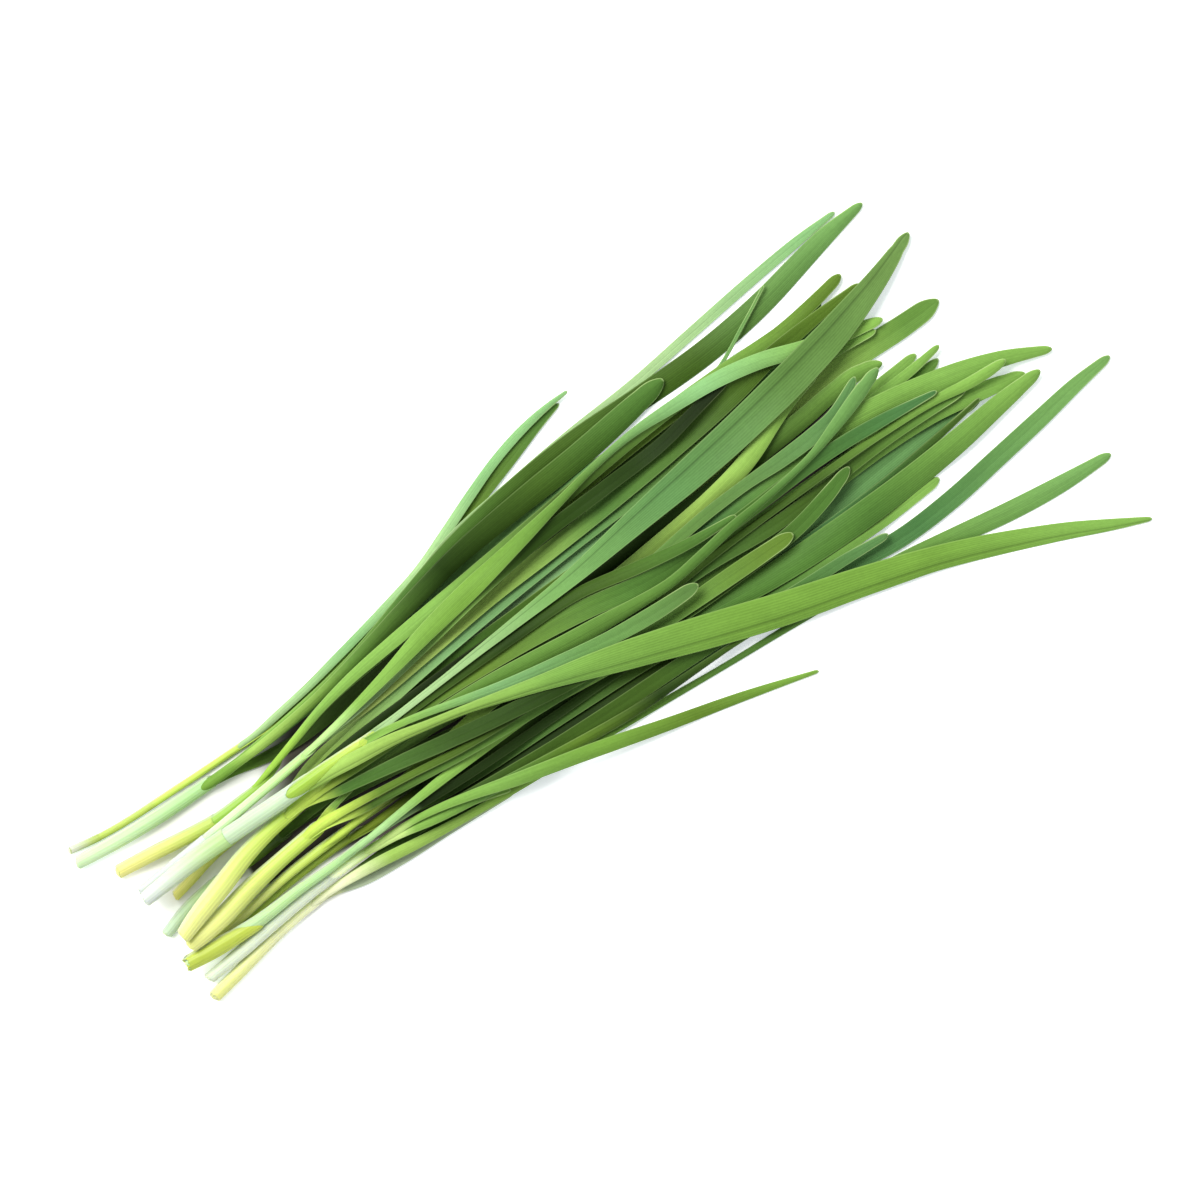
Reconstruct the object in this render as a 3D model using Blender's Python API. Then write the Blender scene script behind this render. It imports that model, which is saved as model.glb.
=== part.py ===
"""A loose bunch of freshly cut flat-leaved chives, lying on a surface.

Lengths are millimetres in the tables and metres in the built scene. +X runs from the cut ends to
the leaf tips, +Z is up, and the bunch lies on z = 0. Each shoot is one solid: a pale sheath stem
with its leaf blades rooted in it. The tables give the route and width of every stem and blade as
seen from above. Their heights follow from laying the pieces down one at a time, in table order,
on whatever lies below them.
"""

import math
from functools import partial

import bmesh
import bpy
import numpy as np
from mathutils import Matrix

MM = 0.001

# ---- driving dimensions, mm -------------------------------------------------------------------
BLADE_MID = 1.0        # thickness of a blade along its keel
BLADE_EDGE = 0.62      # thickness of a blade at its margins
CHANNEL = 0.08         # depth of a blade's shallow V, as a share of its width
STEM_FLATNESS = 0.86   # height of a stem's section, as a share of its width
STEM_SIDES = 10
COLLAR_WIDTH = 0.62    # width of a stem's mouth, as a share of the stem
COLLAR_RUN = 3.0       # length over which a stem narrows to its mouth
ROOT_RUN = 7.0         # length of a blade's root that is sunk in its stem
ROOT_WIDTH = 0.55      # widest that a blade's root may be, as a share of its stem
ROOT_PITCH = 0.30      # rise from one blade's root to the next in the same stem
FUSE_RUN = 5.0         # run past the stem over which the first two sister blades may touch
FUSE_STEP = 5.0        # further run for each later sister, as they fan out of the stem
ROOT_STRAY = 0.75      # furthest that a root may lie over its stem's centre line
GAP = 0.30             # air between pieces that lie on each other
MARGIN = 0.45          # air kept beside a piece's edges
RING_RUN = 11.5        # spacing of the rings that a blade is lofted through
STEM_RING_RUN = 11.0
TIP_RINGS = ((1.0, 0.93), (0.42, 0.70), (0.08, 0.30))   # run from the tip and width, per width
SLOPE = 0.16           # steepest rise or fall of a blade along its run
STEM_SLOPE = 0.14
BRIDGE = 5.0           # half length that a blade bridges without dipping
ROLL_LIMIT = math.radians(20)
ROLL_RUN = 14.0        # half length over which a blade's lean is evened out

# ---- working grid, mm -------------------------------------------------------------------------
SAMPLE = 0.5           # spacing of the samples along a piece
LATERAL = 0.35         # spacing of the samples across a piece
CELL = 0.4
HALF_LENGTH = 150.0
HALF_BREADTH = 62.0
SETTLE_TRIES = 8       # times that a shoot is lifted and laid again to hold its blades' roots
FLOOR = -1000.0        # marks a cell with nothing on it

# ---- shoots, lowest first ---------------------------------------------------------------------
# Every route is a list of (x, y, width). A blade's route starts where it leaves its stem.
SHOOTS = {
    "shoot_01": {
        "stem": [(-127.5, 3.7, 2.6), (-121, 5.2, 2.8), (-114, 7, 3), (-106, 8, 3.2), (-95, 8.3, 3)],
        "leaves": [
            [(-93, 8.2, 2), (-80, 12, 3), (-60, 14, 4), (-40, 15.8, 4.6), (-20, 17, 5),
             (0, 18.2, 4.2), (20, 19.9, 4.4), (40, 22.6, 4.8), (60, 26.3, 5), (80, 30, 4.4),
             (93, 31.9, 3.2)],
            [(-92, 8, 2), (-75, 10.6, 3), (-50, 13, 4.4), (-20, 14, 5), (20, 15, 5.4),
             (45, 16, 5.8), (62, 17.5, 6), (75, 20, 6), (90, 20.6, 6), (105, 20.4, 5.8),
             (112, 20.6, 5.2), (115.3, 20.8, 4.4)],
            [(-93, 8, 2), (-75, 11.2, 2.8), (-40, 16.5, 3.6), (0, 20.5, 3.6), (40, 23, 3.6),
             (65, 24.8, 3.6), (85, 24.5, 3), (98, 23.2, 2)],
            [(-92, 7.6, 2), (-75, 10.2, 3), (-45, 11.6, 4), (-10, 12, 4), (15, 12, 3.6),
             (30, 12.4, 4.2), (45, 12.9, 5.2), (60, 14.2, 5.4), (70, 15, 5.2), (80, 16.3, 4.8),
             (88, 16.9, 4.2), (94.8, 15.6, 3)],
            [(-92, 7.5, 2), (-80, 8.8, 2.6), (-60, 9.4, 3.2), (-30, 8.8, 4), (-10, 7.6, 4.4),
             (10, 8, 4.4), (20, 8.9, 4.7), (30, 9.9, 4.9), (40, 11.4, 4.6), (50, 13.3, 4.8),
             (57, 15.6, 4.4), (63, 18, 3.8), (70, 20.6, 3.4), (80, 23, 2.8)],
        ],
    },
    "shoot_02": {
        "stem": [(-134.5, -3, 3), (-125, -0.2, 3.2), (-118, 0.8, 3.2), (-106, 1, 3.4),
                 (-95, 1.6, 3.2)],
        "leaves": [
            [(-93, 1.8, 2), (-75, 1.6, 4.4), (-60, 0, 5), (-45, -2.3, 5), (-30, -4, 5),
             (0, -5.4, 4.6), (25, -4.2, 4.2), (40, -3, 4), (55, -2.3, 4), (70, -0.8, 3.6),
             (86, 0.4, 2.4)],
            [(-92, 1.9, 2), (-75, 2.6, 2.6), (-50, 3, 3.4), (-20, 1, 4), (10, 1.5, 4.4),
             (40, 4.5, 4.4), (65, 8, 4.2), (85, 10.5, 3.8), (103, 12.7, 2.4)],
            [(-92, 2, 2), (-80, 3, 2.6), (-65, 4.8, 3.4), (-50, 5.6, 4.2), (-20, 3, 4.6),
             (0, 1.2, 4.6), (15, 0.2, 4.2), (35, -0.2, 3.2), (60, 0.9, 2.2), (85, 1.6, 1.8),
             (107, 1, 1.4)],
        ],
    },
    "shoot_03": {
        "stem": [(-133.5, -22.6, 3.4), (-125, -21, 3.5), (-115, -19, 3.4), (-105, -17.5, 2.8),
                 (-97, -16.9, 2.4)],
        "leaves": [
            [(-94, -17.4, 1.8), (-85, -19.6, 2), (-75, -20.5, 2), (-60, -21, 1.8), (-42, -22, 1.2)],
            [(-94, -16.9, 2), (-80, -17.3, 2.6), (-60, -18.4, 3.2), (-30, -19.4, 4),
             (0, -19.2, 4.2), (30, -19.8, 4.4), (55, -21.5, 4.6), (75, -23.4, 4.8), (90, -22.5, 5),
             (105, -20.3, 4.9), (120, -18, 4.6), (132, -16, 3.8), (143, -14.8, 2.2)],
            [(-94, -16.8, 2), (-75, -16.2, 2.8), (-40, -15.9, 3.8), (0, -16.6, 4),
             (25, -18.4, 3.6), (48, -19.8, 2.8), (59, -19.2, 2)],
            [(-94, -16.8, 2), (-80, -17.6, 3), (-70, -18.9, 3), (-60, -20, 2.6), (-45, -21.2, 2.2),
             (-20, -22.6, 2.2), (0, -24, 1.9), (20, -25.3, 1.6), (41, -26.3, 2), (70, -28, 3.8),
             (85, -30.5, 4.6), (100, -33, 5), (115, -34.6, 4.4), (129.5, -35.3, 2.4)],
        ],
    },
    "shoot_04": {
        "stem": [(-126, -12.5, 2.4), (-110, -10.1, 2.4), (-100, -9, 2.5), (-90, -8.5, 2.4),
                 (-80, -8.5, 2.2)],
        "leaves": [
            [(-77, -9, 1.8), (-50, -10.2, 3.4), (0, -10.7, 4.4), (30, -10.6, 5.2), (56, -9, 6.2),
             (65, -7.6, 6.6), (80, -5.9, 7), (95, -4.8, 6.4), (104, -4.6, 5), (111, -5, 3.6)],
            [(-77, -9.2, 1.8), (-60, -11.8, 3.2), (-20, -12.9, 4), (0, -13.3, 4.2),
             (30, -15.4, 4.2), (55, -17.1, 4), (75, -17.1, 3.6), (90.5, -16.3, 2.8)],
            [(-77, -8.8, 1.8), (-55, -8, 3), (-20, -6.6, 3.8), (20, -5, 4.2), (60, -3, 4.4),
             (85, -1.9, 4.2), (98, -2.2, 4.4), (110, -3.9, 4.6), (116, -5.1, 4), (123, -6.6, 2.6)],
        ],
    },
    "shoot_05": {
        "stem": [(-128, -11.2, 2.4), (-118, -10, 2.5), (-108, -8.5, 2.5), (-100, -7.4, 2.6),
                 (-92, -6.8, 2.6), (-83, -6.4, 2.4)],
        "leaves": [
            [(-80, -6.3, 1.8), (-60, -5.8, 2.6), (-35, -4.8, 3.2), (-5, -3.2, 3.4),
             (30, -2.2, 3.4), (50, -3, 3.8), (62, -2.6, 3.6), (75, -1.6, 3), (85, -1, 3),
             (100, -0.9, 3.4), (105, -1, 3.4), (109.5, -0.9, 2.6)],
            [(-80, -6.2, 1.8), (-60, -4.6, 2.6), (-35, -1.6, 3), (0, 2, 3.2), (50, 5.6, 3.2),
             (80, 7.5, 3), (97, 8, 3.2), (103, 7.9, 3), (107, 8.6, 2)],
            [(-80, -6.1, 1.8), (-60, -4.2, 2.6), (-35, -0.6, 3.2), (0, 3.6, 3.4), (40, 6.6, 3.6),
             (70, 8.5, 3.4), (88, 9.2, 3), (100, 10, 2.6), (109, 11.3, 1.6)],
            [(-80, -6, 1.8), (-60, -3.6, 2.8), (-30, 0.4, 3.8), (10, 4.4, 4.6), (45, 7, 5.2),
             (60, 8, 5.6), (75, 8.1, 6), (90, 6.6, 6), (100, 4.8, 5.8), (110, 2.7, 5.2),
             (120, -0.3, 4.2), (132, -5.3, 2)],
        ],
    },
    "shoot_06": {
        "stem": [(-132, -18, 3), (-120, -16.8, 3.4), (-110, -15.5, 3.5), (-100, -14.4, 3.4),
                 (-89, -13.7, 3), (-77, -13.7, 2.4)],
        "leaves": [
            [(-74, -14.3, 1.6), (-66, -15.6, 1.6), (-58, -17, 1.5), (-50, -18.8, 1.4),
             (-42, -21, 1.2)],
            [(-74, -14.2, 1.8), (-65, -15.1, 2.6), (-40, -17.5, 3.8), (-20, -18.4, 4.2),
             (20, -18.8, 4), (45, -19.6, 3.4), (60, -20, 3), (72, -20.8, 2)],
            [(-74, -14.4, 1.8), (-62, -16.4, 2.6), (-50, -17.8, 3), (-30, -20, 3), (-5, -22, 2.8),
             (17, -22, 1.8), (24, -22, 1.6), (31, -22.4, 1.2)],
            [(-74, -13.6, 1.8), (-66, -13.8, 1.8), (-60, -14.6, 2), (-50, -16.8, 2.6),
             (-40, -19.5, 3.4), (-20, -24.3, 4), (0, -29.5, 3.4), (20, -34.4, 2.5),
             (38.5, -39.5, 1)],
        ],
    },
    "shoot_07": {
        "stem": [(-134, -11.8, 4.2), (-125, -12.6, 4.6), (-113, -12.9, 3.6), (-100, -12.1, 2.8),
                 (-90, -11.9, 2.4), (-80, -11.3, 2.2)],
        "leaves": [
            [(-77, -11.2, 1.6), (-50, -12, 2.2), (0, -11.6, 2.4), (40, -11, 2.4), (80, -9.3, 2.2),
             (95, -7.6, 2), (110, -5.4, 1.2)],
            [(-77, -11.1, 1.8), (-65, -10, 2.1), (-50, -8.8, 2.9), (-40, -8.2, 3.4),
             (-25, -7.6, 3.8), (-10, -8.5, 4.2), (5, -9.8, 4.6), (20, -11.4, 5.2),
             (40, -13.1, 6.4), (60, -13.6, 7), (80, -13, 7), (100, -11.2, 6.2), (115, -9.2, 4.8),
             (126.5, -8, 2.8)],
        ],
    },
    "shoot_08": {
        "stem": [(-131, -8.6, 4), (-125, -7.8, 4.8), (-120, -7.1, 5), (-110, -5, 4.8),
                 (-100, -3.4, 4), (-88, -2, 3.8)],
        "leaves": [
            [(-86, -1.2, 1.8), (-82, 0.2, 1.8), (-74, 1.6, 1.2)],
            [(-85, -2.4, 2), (-78, -4.1, 2), (-70, -5, 1.9), (-60, -6, 1.9), (-45, -7, 2.8),
             (-20, -8, 3.4), (10, -8.8, 4), (40, -8, 4.2), (55, -6.5, 4.2), (65, -4, 4),
             (73.3, -1.3, 2.8)],
            [(-85, -1.6, 2), (-78, -2.1, 2.2), (-70, -2.9, 2), (-60, -4, 1.9), (-48, -5.4, 2.2),
             (-30, -6, 2.6), (0, -4, 2.4), (30, -0.9, 2.2), (60, 0.4, 2), (85, 1, 2.2),
             (100, 0.5, 2.4), (110, -0.8, 3), (116, -1.1, 2.9), (120.7, -1, 2)],
        ],
    },
    "shoot_09": {
        "stem": [(-131, -5.8, 4), (-125, -3.6, 4.8), (-115, -0.4, 5.2), (-105, 2.8, 4.6),
                 (-97, 4.4, 4), (-90, 5.2, 3.6)],
        "leaves": [
            [(-87, 5.2, 2), (-70, 6, 2.4), (-50, 6.6, 2.6), (-20, 5.6, 2.8), (10, 5.6, 2.8),
             (40, 8.9, 3.2), (50, 9.4, 3.2), (60, 9.5, 4), (70, 10.1, 4.2), (77, 11.3, 3.8),
             (83, 14.1, 3), (87, 16.6, 1.8)],
            [(-87, 5, 2), (-78, 2.8, 2.4), (-70, 1.6, 3), (-60, 0, 3.6), (-50, -1.9, 4.2),
             (-40, -3.6, 4.4), (-30, -5, 4.2), (-15, -6.8, 4), (15, -7.7, 4.4), (38, -7.5, 4.6),
             (52.3, -7.4, 3.6)],
            [(-87, 5.4, 2), (-75, 6.8, 2.6), (-50, 8.2, 3), (-35, 8.1, 3.8), (-20, 7.7, 5),
             (-10, 6.9, 5.3), (0, 5.7, 5.3), (10, 4, 5.2), (20, 3, 4.6), (30, 2.9, 4),
             (50, 3.6, 3.8), (65, 4.5, 3.8), (75, 4.5, 3.8), (85, 3.8, 3.4), (95, 2.8, 2.4),
             (102, 2, 1.4)],
            [(-87, 5.6, 2), (-75, 7.8, 2.4), (-50, 9.6, 2.8), (-20, 10.4, 3.2), (0, 10.2, 3.2),
             (15, 7.4, 3.6), (30, 5.1, 2.8), (43, 4.3, 1.6)],
            [(-87, 5.2, 2), (-70, 5.2, 2.4), (-50, 5.2, 3), (-40, 4.8, 3.6), (-30, 3.9, 4.4),
             (-20, 2.7, 4.8), (-10, 1.5, 5), (0, 0.7, 4.6), (10, -0.1, 3.6), (20, -0.4, 2.9),
             (30, 0.9, 2.8), (40, 2.5, 2.7), (50, 3.6, 2.2), (60, 5, 1.9), (67, 6.3, 2),
             (75, 8.8, 3), (82, 11.2, 3.8), (87, 13, 3.8), (93, 15.2, 2.6)],
        ],
    },
    "shoot_10": {
        "stem": [(-143, 28.2, 2), (-135, 26.9, 2), (-110, 26, 2), (-90, 25.9, 2)],
        "leaves": [
            [(-87, 25.6, 1.8), (-75, 26.2, 2), (-60, 28.2, 2.4), (-50, 30.4, 2.4),
             (-40, 32.6, 2.4), (-28, 35.6, 2.4), (-10, 39.6, 1.6)],
            [(-87, 25.8, 1.8), (-75, 26.8, 2.2), (-60, 29.3, 2.4), (-45, 32.4, 2.6),
             (-30, 36.2, 3), (-15, 41.3, 3.2), (-5, 44.8, 3.4), (5, 48, 3.2), (15, 51, 2.4),
             (22, 52.5, 1.2)],
            [(-87, 26.2, 1.8), (-80, 27.2, 2), (-70, 28.7, 2.2), (-60, 30.7, 2.4),
             (-45, 33.9, 2.4), (-30, 37.6, 2.6), (-20, 41.4, 2.8), (-10, 45.5, 2.8),
             (0, 49.3, 2.6), (10, 52, 2.4), (20, 53.5, 1.6), (25.5, 53.8, 0.9)],
        ],
    },
    "shoot_11": {
        "stem": [(-143, 24.5, 3.4), (-130, 23.3, 3.8), (-120, 22.8, 3.8), (-103, 22.6, 3.4)],
        "leaves": [
            [(-100, 22, 2), (-90, 20.2, 2.8), (-80, 19.2, 3.2), (-70, 19.7, 3.4), (-60, 21.2, 3.6),
             (-40, 24.2, 4), (-20, 26.6, 4.4), (0, 28.8, 4.4), (20, 31, 4), (40, 33, 3.4),
             (58, 34.4, 2)],
            [(-100, 22.5, 2), (-85, 23, 2), (-70, 24.4, 2.2), (-50, 27.4, 2.4), (-35, 29.9, 2.6),
             (-20, 31.8, 3), (0, 33, 3.2), (10, 33.8, 3), (25, 35.2, 1.8)],
            [(-100, 22.7, 2), (-85, 23.8, 2.2), (-70, 26, 2.4), (-50, 30, 2.6), (-35, 34.4, 3),
             (-20, 39.2, 3), (0, 42, 3), (20, 44.3, 3), (40, 46, 2.8), (60, 48.6, 3),
             (80, 51.2, 3), (95, 52.8, 2.6), (106, 53.6, 1.4)],
            [(-100, 22.6, 2.2), (-85, 23.8, 2.6), (-75, 25, 2.8), (-60, 27.3, 3.2),
             (-50, 29.5, 3.8), (-40, 32.2, 4.4), (-20, 37.4, 5.2), (0, 40.4, 6), (20, 42, 6.4),
             (40, 42, 6.4), (60, 42.6, 6.4), (80, 45.3, 6), (90, 47.5, 5.6), (100, 49.7, 4.8),
             (113, 51.6, 2)],
            [(-100, 22.5, 2), (-85, 23.3, 2.4), (-70, 25, 2.8), (-55, 27.8, 3.6), (-40, 31, 4.6),
             (-20, 34.9, 5.6), (0, 37.1, 6.4), (20, 38.9, 6.6), (35, 41, 6), (47, 42.8, 4.6)],
        ],
    },
    "shoot_12": {
        "stem": [(-136, 17, 3.6), (-125, 15.8, 3.8), (-115, 14.5, 3.8), (-108, 13.9, 3.6),
                 (-100, 14.3, 3.2), (-93, 15.1, 2.6), (-88, 16.7, 2.2)],
        "leaves": [
            [(-85, 18, 1.6), (-80, 19.4, 1.8), (-70, 22.2, 2), (-50, 25, 2.6), (-20, 28, 3.2),
             (10, 31.2, 3.2), (35, 33.4, 3.2), (55, 34.4, 3.2), (70, 34, 3.2), (80, 34.7, 3),
             (90.5, 36.7, 2)],
            [(-85, 18, 1.6), (-80, 19.4, 1.6), (-70, 22.3, 1.6), (-50, 25.4, 1.6),
             (-20, 28.6, 1.6), (10, 32.4, 1.6), (35, 35.2, 1.4), (52, 36, 1.2), (60, 37.4, 1.1),
             (65, 39.7, 1), (70, 42.4, 1), (75, 45, 0.9), (81, 48.3, 0.8)],
            [(-85, 18, 1.8), (-80, 19.5, 1.9), (-70, 22.4, 2.2), (-60, 24.4, 2.8),
             (-50, 25.7, 3.4), (-40, 26.8, 3.8), (-20, 28.8, 4), (0, 31, 3.8), (20, 33.3, 3.6),
             (45, 35.6, 3.6), (60, 36.1, 3.6), (80, 36.5, 3.6), (90, 38, 3.4), (98.5, 39.8, 2.8)],
        ],
    },
    "shoot_13": {
        "stem": [(-134, 9.7, 2.4), (-120, 10.8, 2.6), (-108, 11.8, 2.8), (-98, 12.9, 2.6),
                 (-88, 14, 2.6), (-78, 15.2, 2.2)],
        "leaves": [
            [(-75, 15.5, 1.8), (-60, 16.4, 2.8), (-40, 19, 4), (-20, 21.6, 4.6), (0, 23, 4.8),
             (20, 24.6, 4.8), (40, 27, 5.4), (60, 30.4, 6), (75, 33, 4.6), (88, 34.3, 3.2),
             (101, 35.2, 1.8)],
            [(-75, 15.7, 1.8), (-60, 17.4, 2.6), (-40, 20.8, 3.2), (-20, 24.6, 3.6),
             (0, 27.4, 3.8), (20, 28.4, 3.8), (38, 29.6, 3.6), (50, 32, 3), (60, 33.6, 2)],
            [(-75, 15.8, 1.8), (-70, 16.6, 2), (-60, 18.5, 2.6), (-50, 20.6, 3.4),
             (-40, 22.9, 4.5), (-20, 26.7, 5.2), (-5, 29.4, 3.8), (8, 31.9, 2.4), (20, 34.3, 2),
             (32, 35.8, 2.2), (45, 35.8, 3.4), (60, 34.9, 4.2), (70, 32.9, 4.2), (80, 29.6, 4.2),
             (92, 26.6, 3.8), (101, 24.6, 2.4)],
        ],
    },
    "shoot_14": {
        "stem": [(-134, 7.3, 3.8), (-125, 8.1, 4.4), (-115, 8.8, 4.8), (-105, 8.9, 4.9),
                 (-90, 8.9, 4.7), (-75, 9.4, 3.8), (-64, 9.6, 2.8)],
        "leaves": [
            [(-62, 9.8, 1.8), (-50, 10.6, 1.8), (-40, 11.3, 2), (-30, 12.1, 2.4), (-20, 12.8, 3),
             (0, 14.4, 4.4), (20, 17, 6.4), (40, 19.5, 8.2), (60, 22.5, 9), (75, 25.4, 9),
             (90, 29, 8.2), (105, 33.6, 5.6), (118.5, 39, 2.6)],
            [(-62, 9, 1.8), (-50, 7, 1.9), (-40, 4.5, 2.2), (-30, 2, 2.8), (-15, -1, 3.6),
             (0, -3.4, 4), (12, -4.4, 4.2), (25.5, -4.6, 3.4)],
            [(-85, 8.4, 2.6), (-78, 8, 3.4), (-70, 7.2, 3.8), (-60, 6, 3.4), (-50, 4, 2.6),
             (-40, 1.9, 2.6), (-30, -0.7, 3.4), (-20, -3.4, 4.5), (-10, -6.2, 6.3), (0, -9.2, 7.9),
             (10, -12.3, 8.6), (20, -15.5, 9), (40, -21.8, 9), (60, -27.2, 8), (80, -33.2, 6.7),
             (100, -41, 5.3), (110, -45.4, 4.4), (120, -50.3, 3), (129, -54.6, 1.2)],
        ],
    },
}
LOWEST_BLADE = ("shoot_02", 0)      # its underside is flat where the bunch rests on it

SHARP_ANGLE = math.radians(50)
LEAF_GREEN = (0.10, 0.24, 0.05, 1.0)


# ---- routes and rings -------------------------------------------------------------------------

def smooth_route(points):
    """Samples of a smooth curve through (x, y, width) points: an array, and the run to each."""
    knots = np.array(points, float)
    chords = np.hypot(*np.diff(knots[:, :2], axis=0).T)
    slopes = np.diff(knots, axis=0) / chords[:, None]
    before, after = chords[:-1, None], chords[1:, None]
    inner = (after * slopes[:-1] + before * slopes[1:]) / (before + after)
    tangents = np.vstack([slopes[:1], inner, slopes[-1:]])
    pieces = []
    for i, chord in enumerate(chords):
        t = np.linspace(0, 1, max(2, round(chord / SAMPLE)), endpoint=False)[:, None]
        pieces.append((2 * t**3 - 3 * t**2 + 1) * knots[i] + (t**3 - 2 * t**2 + t) * chord * tangents[i]
                      + (3 * t**2 - 2 * t**3) * knots[i + 1] + (t**3 - t**2) * chord * tangents[i + 1])
    route = np.vstack(pieces + [knots[-1:]])
    run = np.concatenate([[0], np.cumsum(np.hypot(*np.diff(route[:, :2], axis=0).T))])
    return route, run


def read_route(route, run, stations):
    """Rows of (x, y, width) at stations along a route."""
    return np.column_stack([np.interp(stations, run, route[:, k]) for k in range(3)])


def across(plan):
    """Unit vectors to the left of the run, one for each ring."""
    ahead = np.gradient(plan[:, :2], axis=0)
    ahead /= np.linalg.norm(ahead, axis=1)[:, None]
    return np.column_stack([-ahead[:, 1], ahead[:, 0]])


def stem_plan(points):
    """Rings of a stem as (x, y, width), with two close ones where it narrows to its mouth."""
    route, run = smooth_route(points)
    body = run[-1] - COLLAR_RUN
    stations = np.append(np.linspace(0, body, max(3, round(body / STEM_RING_RUN) + 1)), run[-1])
    plan = read_route(route, run, stations)
    plan[-1, 2] *= COLLAR_WIDTH
    return plan


def blade_plan(points, stem):
    """Rings of a blade as (x, y, width): a root inside the stem, an even body and a round tip."""
    stem_route, stem_run = smooth_route(stem)
    nearest = np.argmin(np.hypot(stem_route[:, 0] - points[0][0], stem_route[:, 1] - points[0][1]))
    root_at = min(stem_run[nearest], stem_run[-1] - COLLAR_RUN) - ROOT_RUN
    root = read_route(stem_route, stem_run, [root_at])[0]
    root[2] = min(points[0][2], ROOT_WIDTH * root[2])
    route, run = smooth_route([tuple(root)] + list(points))
    end = run[-1]
    tip_width = np.interp(end - points[-1][2], run, route[:, 2])
    body = end - 1.6 * tip_width
    stations = np.linspace(0, body, round(body / RING_RUN) + 1)
    tip = [end - back * tip_width for back, _ in TIP_RINGS]
    plan = read_route(route, run, np.append(stations, tip))
    plan[-len(TIP_RINGS):, 2] = [tip_width * share for _, share in TIP_RINGS]
    return plan


# ---- sections ---------------------------------------------------------------------------------

def stem_section(v, half):
    """Heights of a stem's top and underside over its centre, at v = -1 to 1 across it."""
    rise = STEM_FLATNESS * half * np.sqrt(np.clip(1 - v**2, 0, 1))
    return rise, -rise


def blade_section(v, half, channel=CHANNEL):
    """Heights of a blade's top and underside over its keel, at v = -1 to 1 across it."""
    side = np.minimum(np.abs(v), 1)
    middle = 2 * half * channel * side
    thick = BLADE_MID + (BLADE_EDGE - BLADE_MID) * side
    return middle + thick / 2, middle - thick / 2


def flat_section(v, half):
    """As blade_section, for the blade whose underside is flat."""
    side = np.minimum(np.abs(v), 1)
    under = np.full_like(side * half, -BLADE_MID / 2)
    return under + BLADE_MID + (BLADE_EDGE - BLADE_MID) * side, under


# ---- laying pieces down -----------------------------------------------------------------------

class Heap:
    """The highest point over each cell of the surface, for each group of pieces laid so far."""

    def __init__(self):
        self.shape = (round(2 * HALF_LENGTH / CELL), round(2 * HALF_BREADTH / CELL))
        self.tops = {}

    def cells(self, x, y):
        i = np.clip(((x + HALF_LENGTH) / CELL).astype(int), 0, self.shape[0] - 1)
        j = np.clip(((y + HALF_BREADTH) / CELL).astype(int), 0, self.shape[1] - 1)
        return i, j

    def read(self, x, y, without):
        i, j = self.cells(x, y)
        found = np.full(x.shape, FLOOR)
        for group, top in self.tops.items():
            if group not in without:
                found = np.maximum(found, top[i, j])
        return found

    def clear(self, name):
        """Take one shoot off the heap again."""
        self.tops = {group: top for group, top in self.tops.items() if group[0] != name}

    def add(self, group, x, y, z):
        top = self.tops.setdefault(group, np.full(self.shape, FLOOR))
        np.maximum.at(top, self.cells(x, y), z)


def between(values, at):
    """Values of the rings read at fractional ring numbers."""
    low = np.minimum(at.astype(int), len(values) - 2)
    share = at - low
    if values.ndim == 2:
        share = share[:, None]
    return values[low] * (1 - share) + values[low + 1] * share


class Footprint:
    """Samples over the ground that a piece covers: rows along it, columns across it."""

    def __init__(self, plan, section):
        gaps = np.hypot(*np.diff(plan[:, :2], axis=0).T)
        self.ring_run = np.concatenate([[0], np.cumsum(gaps)])
        self.run = np.linspace(0, self.ring_run[-1], math.ceil(self.ring_run[-1] / SAMPLE) + 1)
        self.at = np.interp(self.run, self.ring_run, np.arange(len(plan)))
        self.half = between(plan[:, 2] / 2, self.at)
        columns = 2 * math.ceil((plan[:, 2].max() / 2 + MARGIN) / LATERAL) + 1
        reach = np.linspace(-1, 1, columns)
        self.v = reach[None, :] * (1 + MARGIN / self.half[:, None])
        centre = between(plan[:, :2], self.at)
        side = between(across(plan), self.at)
        offset = self.v * self.half[:, None]
        self.x = centre[:, :1] + offset * side[:, :1]
        self.y = centre[:, 1:] + offset * side[:, 1:]
        self.top, self.under = section(self.v, self.half[:, None])
        self.inside = np.abs(self.v) <= 1.0
        self.width_offset = np.clip(self.v, -1, 1) * self.half[:, None]


def evened(values, run, reach):
    """Values averaged over what lies within reach along the run."""
    near = np.abs(run[:, None] - run[None, :]) <= reach
    return (near @ values) / near.sum(1)


def bridged(need, run, slope):
    """The lowest easy curve over the needed heights that never climbs faster than slope."""
    apart = np.abs(run[:, None] - run[None, :])
    tent = (need[None, :] - slope * apart).max(1)
    near = apart <= BRIDGE
    wide = np.where(near, tent[None, :], FLOOR).max(1)
    return (near @ wide) / near.sum(1)


def lean(print_, support):
    """How far a blade leans sideways on what it lies on, in radians."""
    ground = np.maximum(support, 0)
    left = np.where(print_.v > 0.3, ground, 0).max(1)
    right = np.where(print_.v < -0.3, ground, 0).max(1)
    steep = np.arctan((left - right) / (1.3 * print_.half))
    return evened(np.clip(steep, -ROLL_LIMIT, ROLL_LIMIT), print_.run, ROLL_RUN)


def ring_heights(print_, need, slope, held=None):
    """Heights for the rings that keep straight spans between them above what is needed."""
    easy = bridged(need if held is None else np.maximum(need, held), print_.run, slope)
    heights = np.interp(print_.ring_run, print_.run, easy)
    low = np.minimum(print_.at.astype(int), len(heights) - 2)
    for _ in range(4):
        short = np.maximum(need - between(heights, print_.at), 0)
        lift = np.zeros(len(heights))
        np.maximum.at(lift, low, short)
        np.maximum.at(lift, low + 1, short)
        heights = heights + lift
    return heights


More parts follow.
